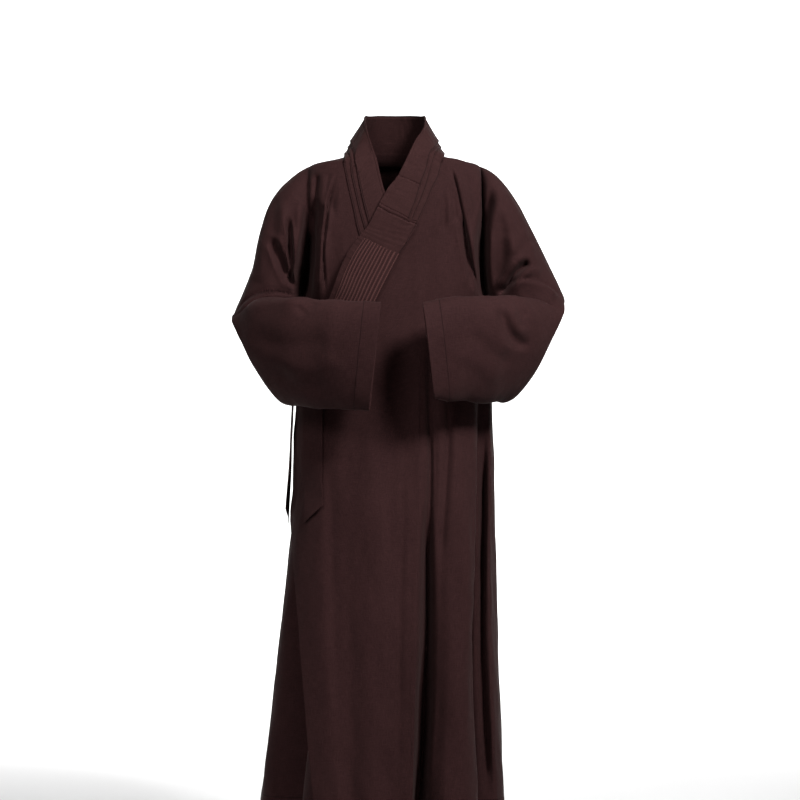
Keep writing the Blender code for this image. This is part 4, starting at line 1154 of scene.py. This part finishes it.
def block_material():
    mat, nt, bsdf, ramp, bump = cloth_material("stitched_block", (0.0140, 0.0046, 0.0046), (0.0350, 0.0140, 0.0138), 0.84)
    link = nt.links.new
    uv = node(nt, "ShaderNodeUVMap", uv_map="cloth")
    sep = node(nt, "ShaderNodeSeparateXYZ")
    link(uv.outputs["UV"], sep.inputs[0])

    def m(op, a, b=None):
        k = node(nt, "ShaderNodeMath", operation=op)
        for i, val in enumerate((a, b)):
            if val is None:
                continue
            if isinstance(val, (int, float)):
                k.inputs[i].default_value = val
            else:
                link(val, k.inputs[i])
        return k.outputs[0]

    # thread lines sit on the crest of each row, broken into stitches
    u = m("FRACT", m("ADD", sep.outputs["X"], 0.5))
    crest = m("SUBTRACT", 1.0, m("MINIMUM", m("MULTIPLY", m("ABSOLUTE", m("SUBTRACT", u, 0.5)), 4.6), 1.0))
    dash = m("FRACT", m("ADD", m("MULTIPLY", sep.outputs["Y"], 260.0), m("MULTIPLY", m("FLOOR", m("ADD", sep.outputs["X"], 0.5)), 0.37)))
    dash = m("GREATER_THAN", dash, 0.16)
    fac = m("MULTIPLY", m("MULTIPLY", crest, dash), 0.85)
    mix = node(nt, "ShaderNodeMix", data_type="RGBA")
    link(fac, mix.inputs[0])
    link(ramp.outputs["Color"], mix.inputs[6])
    mix.inputs[7].default_value = (0.080, 0.033, 0.031, 1)
    link(mix.outputs[2], bsdf.inputs["Base Color"])
    return mat


block, cuts["robe_collar_block"] = cloth_wall("robe_collar_block", g, n, block_material(), wall=0.0018, uv=uvb)
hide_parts("collar_block")


# ------------------------------------------------------------------ ties
def resample(g, rows, cols):
    a = catmull(g, np.linspace(0, g.shape[0] - 1, rows))
    return np.swapaxes(catmull(np.swapaxes(a, 0, 1), np.linspace(0, g.shape[1] - 1, cols)), 0, 1)


rows = [(308, 327, 378), (308.5, 326.8, 400), (309.4, 326.6, 425), (309.8, 326.6, 450),
        (310, 326.8, 475), (310.4, 327.4, 495), (311.0, 328.0, 506)]
g = []
for k, (a_, b_, v_) in enumerate(rows):
    row = []
    for j in range(4):
        u_ = a_ + (b_ - a_) * j / 3
        vv = v_ + (17.0 * (1 - j / 3) if k == 6 else (4.0 * (1 - j / 3) if k == 5 else 0))
        d, z = spot(u_, vv, 0.016)
        row.append(place(d, z, float(lift(d)) + 0.0055 + 0.002 * k / 6))
    g.append(row)
g = resample(np.array(g), 110, 17)
n = grid_normals(g)
n = n * (1 if n[..., 1].mean() < 0 else -1)
w = np.linspace(0, 1, 17)[None, :]
h = np.linspace(0, 1, 110)[:, None]
out = 0.0010 * np.sin(6.0 * h + 2.2 * w) + 0.0006 * np.sin(15 * h - 3 * w) - 0.0009 * np.exp(-((w - 0.5) / 0.25) ** 2) * (1 - h)
out = out + 0.0004 * (np.exp(-((w - 0.07) / 0.05) ** 2) + np.exp(-((w - 0.93) / 0.05) ** 2))
g = g + n * out[..., None]
n2 = grid_normals(g)
n = n2 * np.sign((n2 * n).sum(-1, keepdims=True))
o, cuts["robe_tie_front"] = cloth_wall("robe_tie_front", g, n, tie_mat, wall=0.0016)
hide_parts("tie_front")

rows = [(-0.1850, -0.425, -0.045, -0.013), (-0.1860, -0.460, -0.045, -0.013),
        (-0.1875, -0.500, -0.044, -0.012), (-0.1905, -0.570, -0.043, -0.011),
        (-0.1935, -0.610, -0.042, -0.010), (-0.1960, -0.645, -0.041, -0.009)]
g = []
for k, (x, z, y0, y1) in enumerate(rows):
    g.append([(x + 0.0022 * math.sin(j * 1.3 + k), y0 + (y1 - y0) * j / 3, z - (0.028 * j / 3 if k == 5 else 0)) for j in range(4)])
g = resample(np.array(g), 100, 15)
n = grid_normals(g)
n = n * (1 if n[..., 0].mean() < 0 else -1)
o, cuts["robe_tie_back"] = cloth_wall("robe_tie_back", g, n, tie_mat, wall=0.0016)
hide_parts("tie_back")

g = []
for i in range(16):
    row = []
    for j in range(48):
        a = 2 * math.pi * j / 48
        t = i / 15
        puff = 1 + 0.10 * math.sin(math.pi * t) + 0.05 * math.sin(3 * a + 2 * t)
        row.append((-0.130 + 0.0135 * math.cos(a) * (1 + 0.12 * math.sin(2 * a)) * puff,
                    -0.1140 + 0.0042 * math.sin(a) * puff,
                    -0.366 - 0.0255 * t + 0.001 * math.sin(a)))
    g.append(row)
g = np.array(g)
n = grid_normals(g, True)
ref = g - g.mean(1, keepdims=True)
n = n * (1 if (n * ref).sum() > 0 else -1)
o, cuts["robe_tie_knot"] = cloth_wall("robe_tie_knot", g, n, tie_mat, wall=0.0014, wrap=True)
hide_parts("tie_knot")

# ------------------------------------------------------------------ floor, light, camera
scene = bpy.context.scene
floor = bpy.data.meshes.new("floor")
bx = []
prof = [(-7.0, -1.335)] + [(4.6 + 2.4 * math.sin(a), -1.335 + 2.4 * (1 - math.cos(a))) for a in np.linspace(0, math.pi / 2, 16)] + [(7.0, 6.5)]
for y, z in prof:
    bx += [(-10.0, y, z), (10.0, y, z)]
floor.from_pydata(bx, [], [(2 * i, 2 * i + 1, 2 * i + 3, 2 * i + 2) for i in range(len(prof) - 1)])
floor.polygons.foreach_set("use_smooth", [True] * len(floor.polygons))
fobj = bpy.data.objects.new("floor", floor)
scene.collection.objects.link(fobj)
fmat = bpy.data.materials.new("pale_floor")
nt, bsdf = nodes_of(fmat)
tex = node(nt, "ShaderNodeTexNoise")
tex.inputs["Scale"].default_value = 3.0
rmp = node(nt, "ShaderNodeValToRGB")
rmp.color_ramp.elements[0].color = (0.80, 0.80, 0.80, 1)
rmp.color_ramp.elements[1].color = (0.84, 0.84, 0.84, 1)
nt.links.new(tex.outputs["Fac"], rmp.inputs["Fac"])
nt.links.new(rmp.outputs["Color"], bsdf.inputs["Base Color"])
bsdf.inputs["Roughness"].default_value = 0.9
floor.materials.append(fmat)

world = bpy.data.worlds.new("studio")
scene.world = world
world.use_nodes = True
bg = world.node_tree.nodes["Background"]
bg.inputs["Color"].default_value = (1.0, 1.0, 1.0, 1)
bg.inputs["Strength"].default_value = 0.16


def lamp(name, pos, target, size, power, colour=(1, 1, 1)):
    light = bpy.data.lights.new(name, "AREA")
    light.shape = "RECTANGLE"
    light.size, light.size_y = size
    light.energy = power
    light.color = colour
    obj = bpy.data.objects.new(name, light)
    obj.location = pos
    d = np.array(target) - np.array(pos)
    import mathutils
    obj.rotation_euler = mathutils.Vector(d).to_track_quat("-Z", "Y").to_euler()
    scene.collection.objects.link(obj)
    return obj


key = lamp("key", (1.7, -2.3, 1.9), (0.03, -0.2, -0.33), (0.8, 0.8), 14.5)
fill = lamp("fill", (-1.1, -3.1, 2.0), (-0.03, -0.2, -0.33), (1.1, 1.1), 4.5)
for one in (key, fill):
    one.data.spread = math.radians(44)
lamp("wall_left", (-1.9, 2.8, 3.0), (-1.5, 7.0, 0.2), (2.2, 1.2), 360)
lamp("wall_right", (1.9, 2.8, 3.0), (1.5, 7.0, 0.2), (2.2, 1.2), 360)

cam = bpy.data.cameras.new("camera")
cam.sensor_width = 36.0
cam.lens = 36.0 * FAR / (800 * UNIT)
cobj = bpy.data.objects.new("camera", cam)
cobj.location = (MID_X, -FAR, MID_Z)
cobj.rotation_euler = (math.pi / 2, 0, 0)
scene.collection.objects.link(cobj)
scene.camera = cobj
scene.view_settings.view_transform = "Standard"
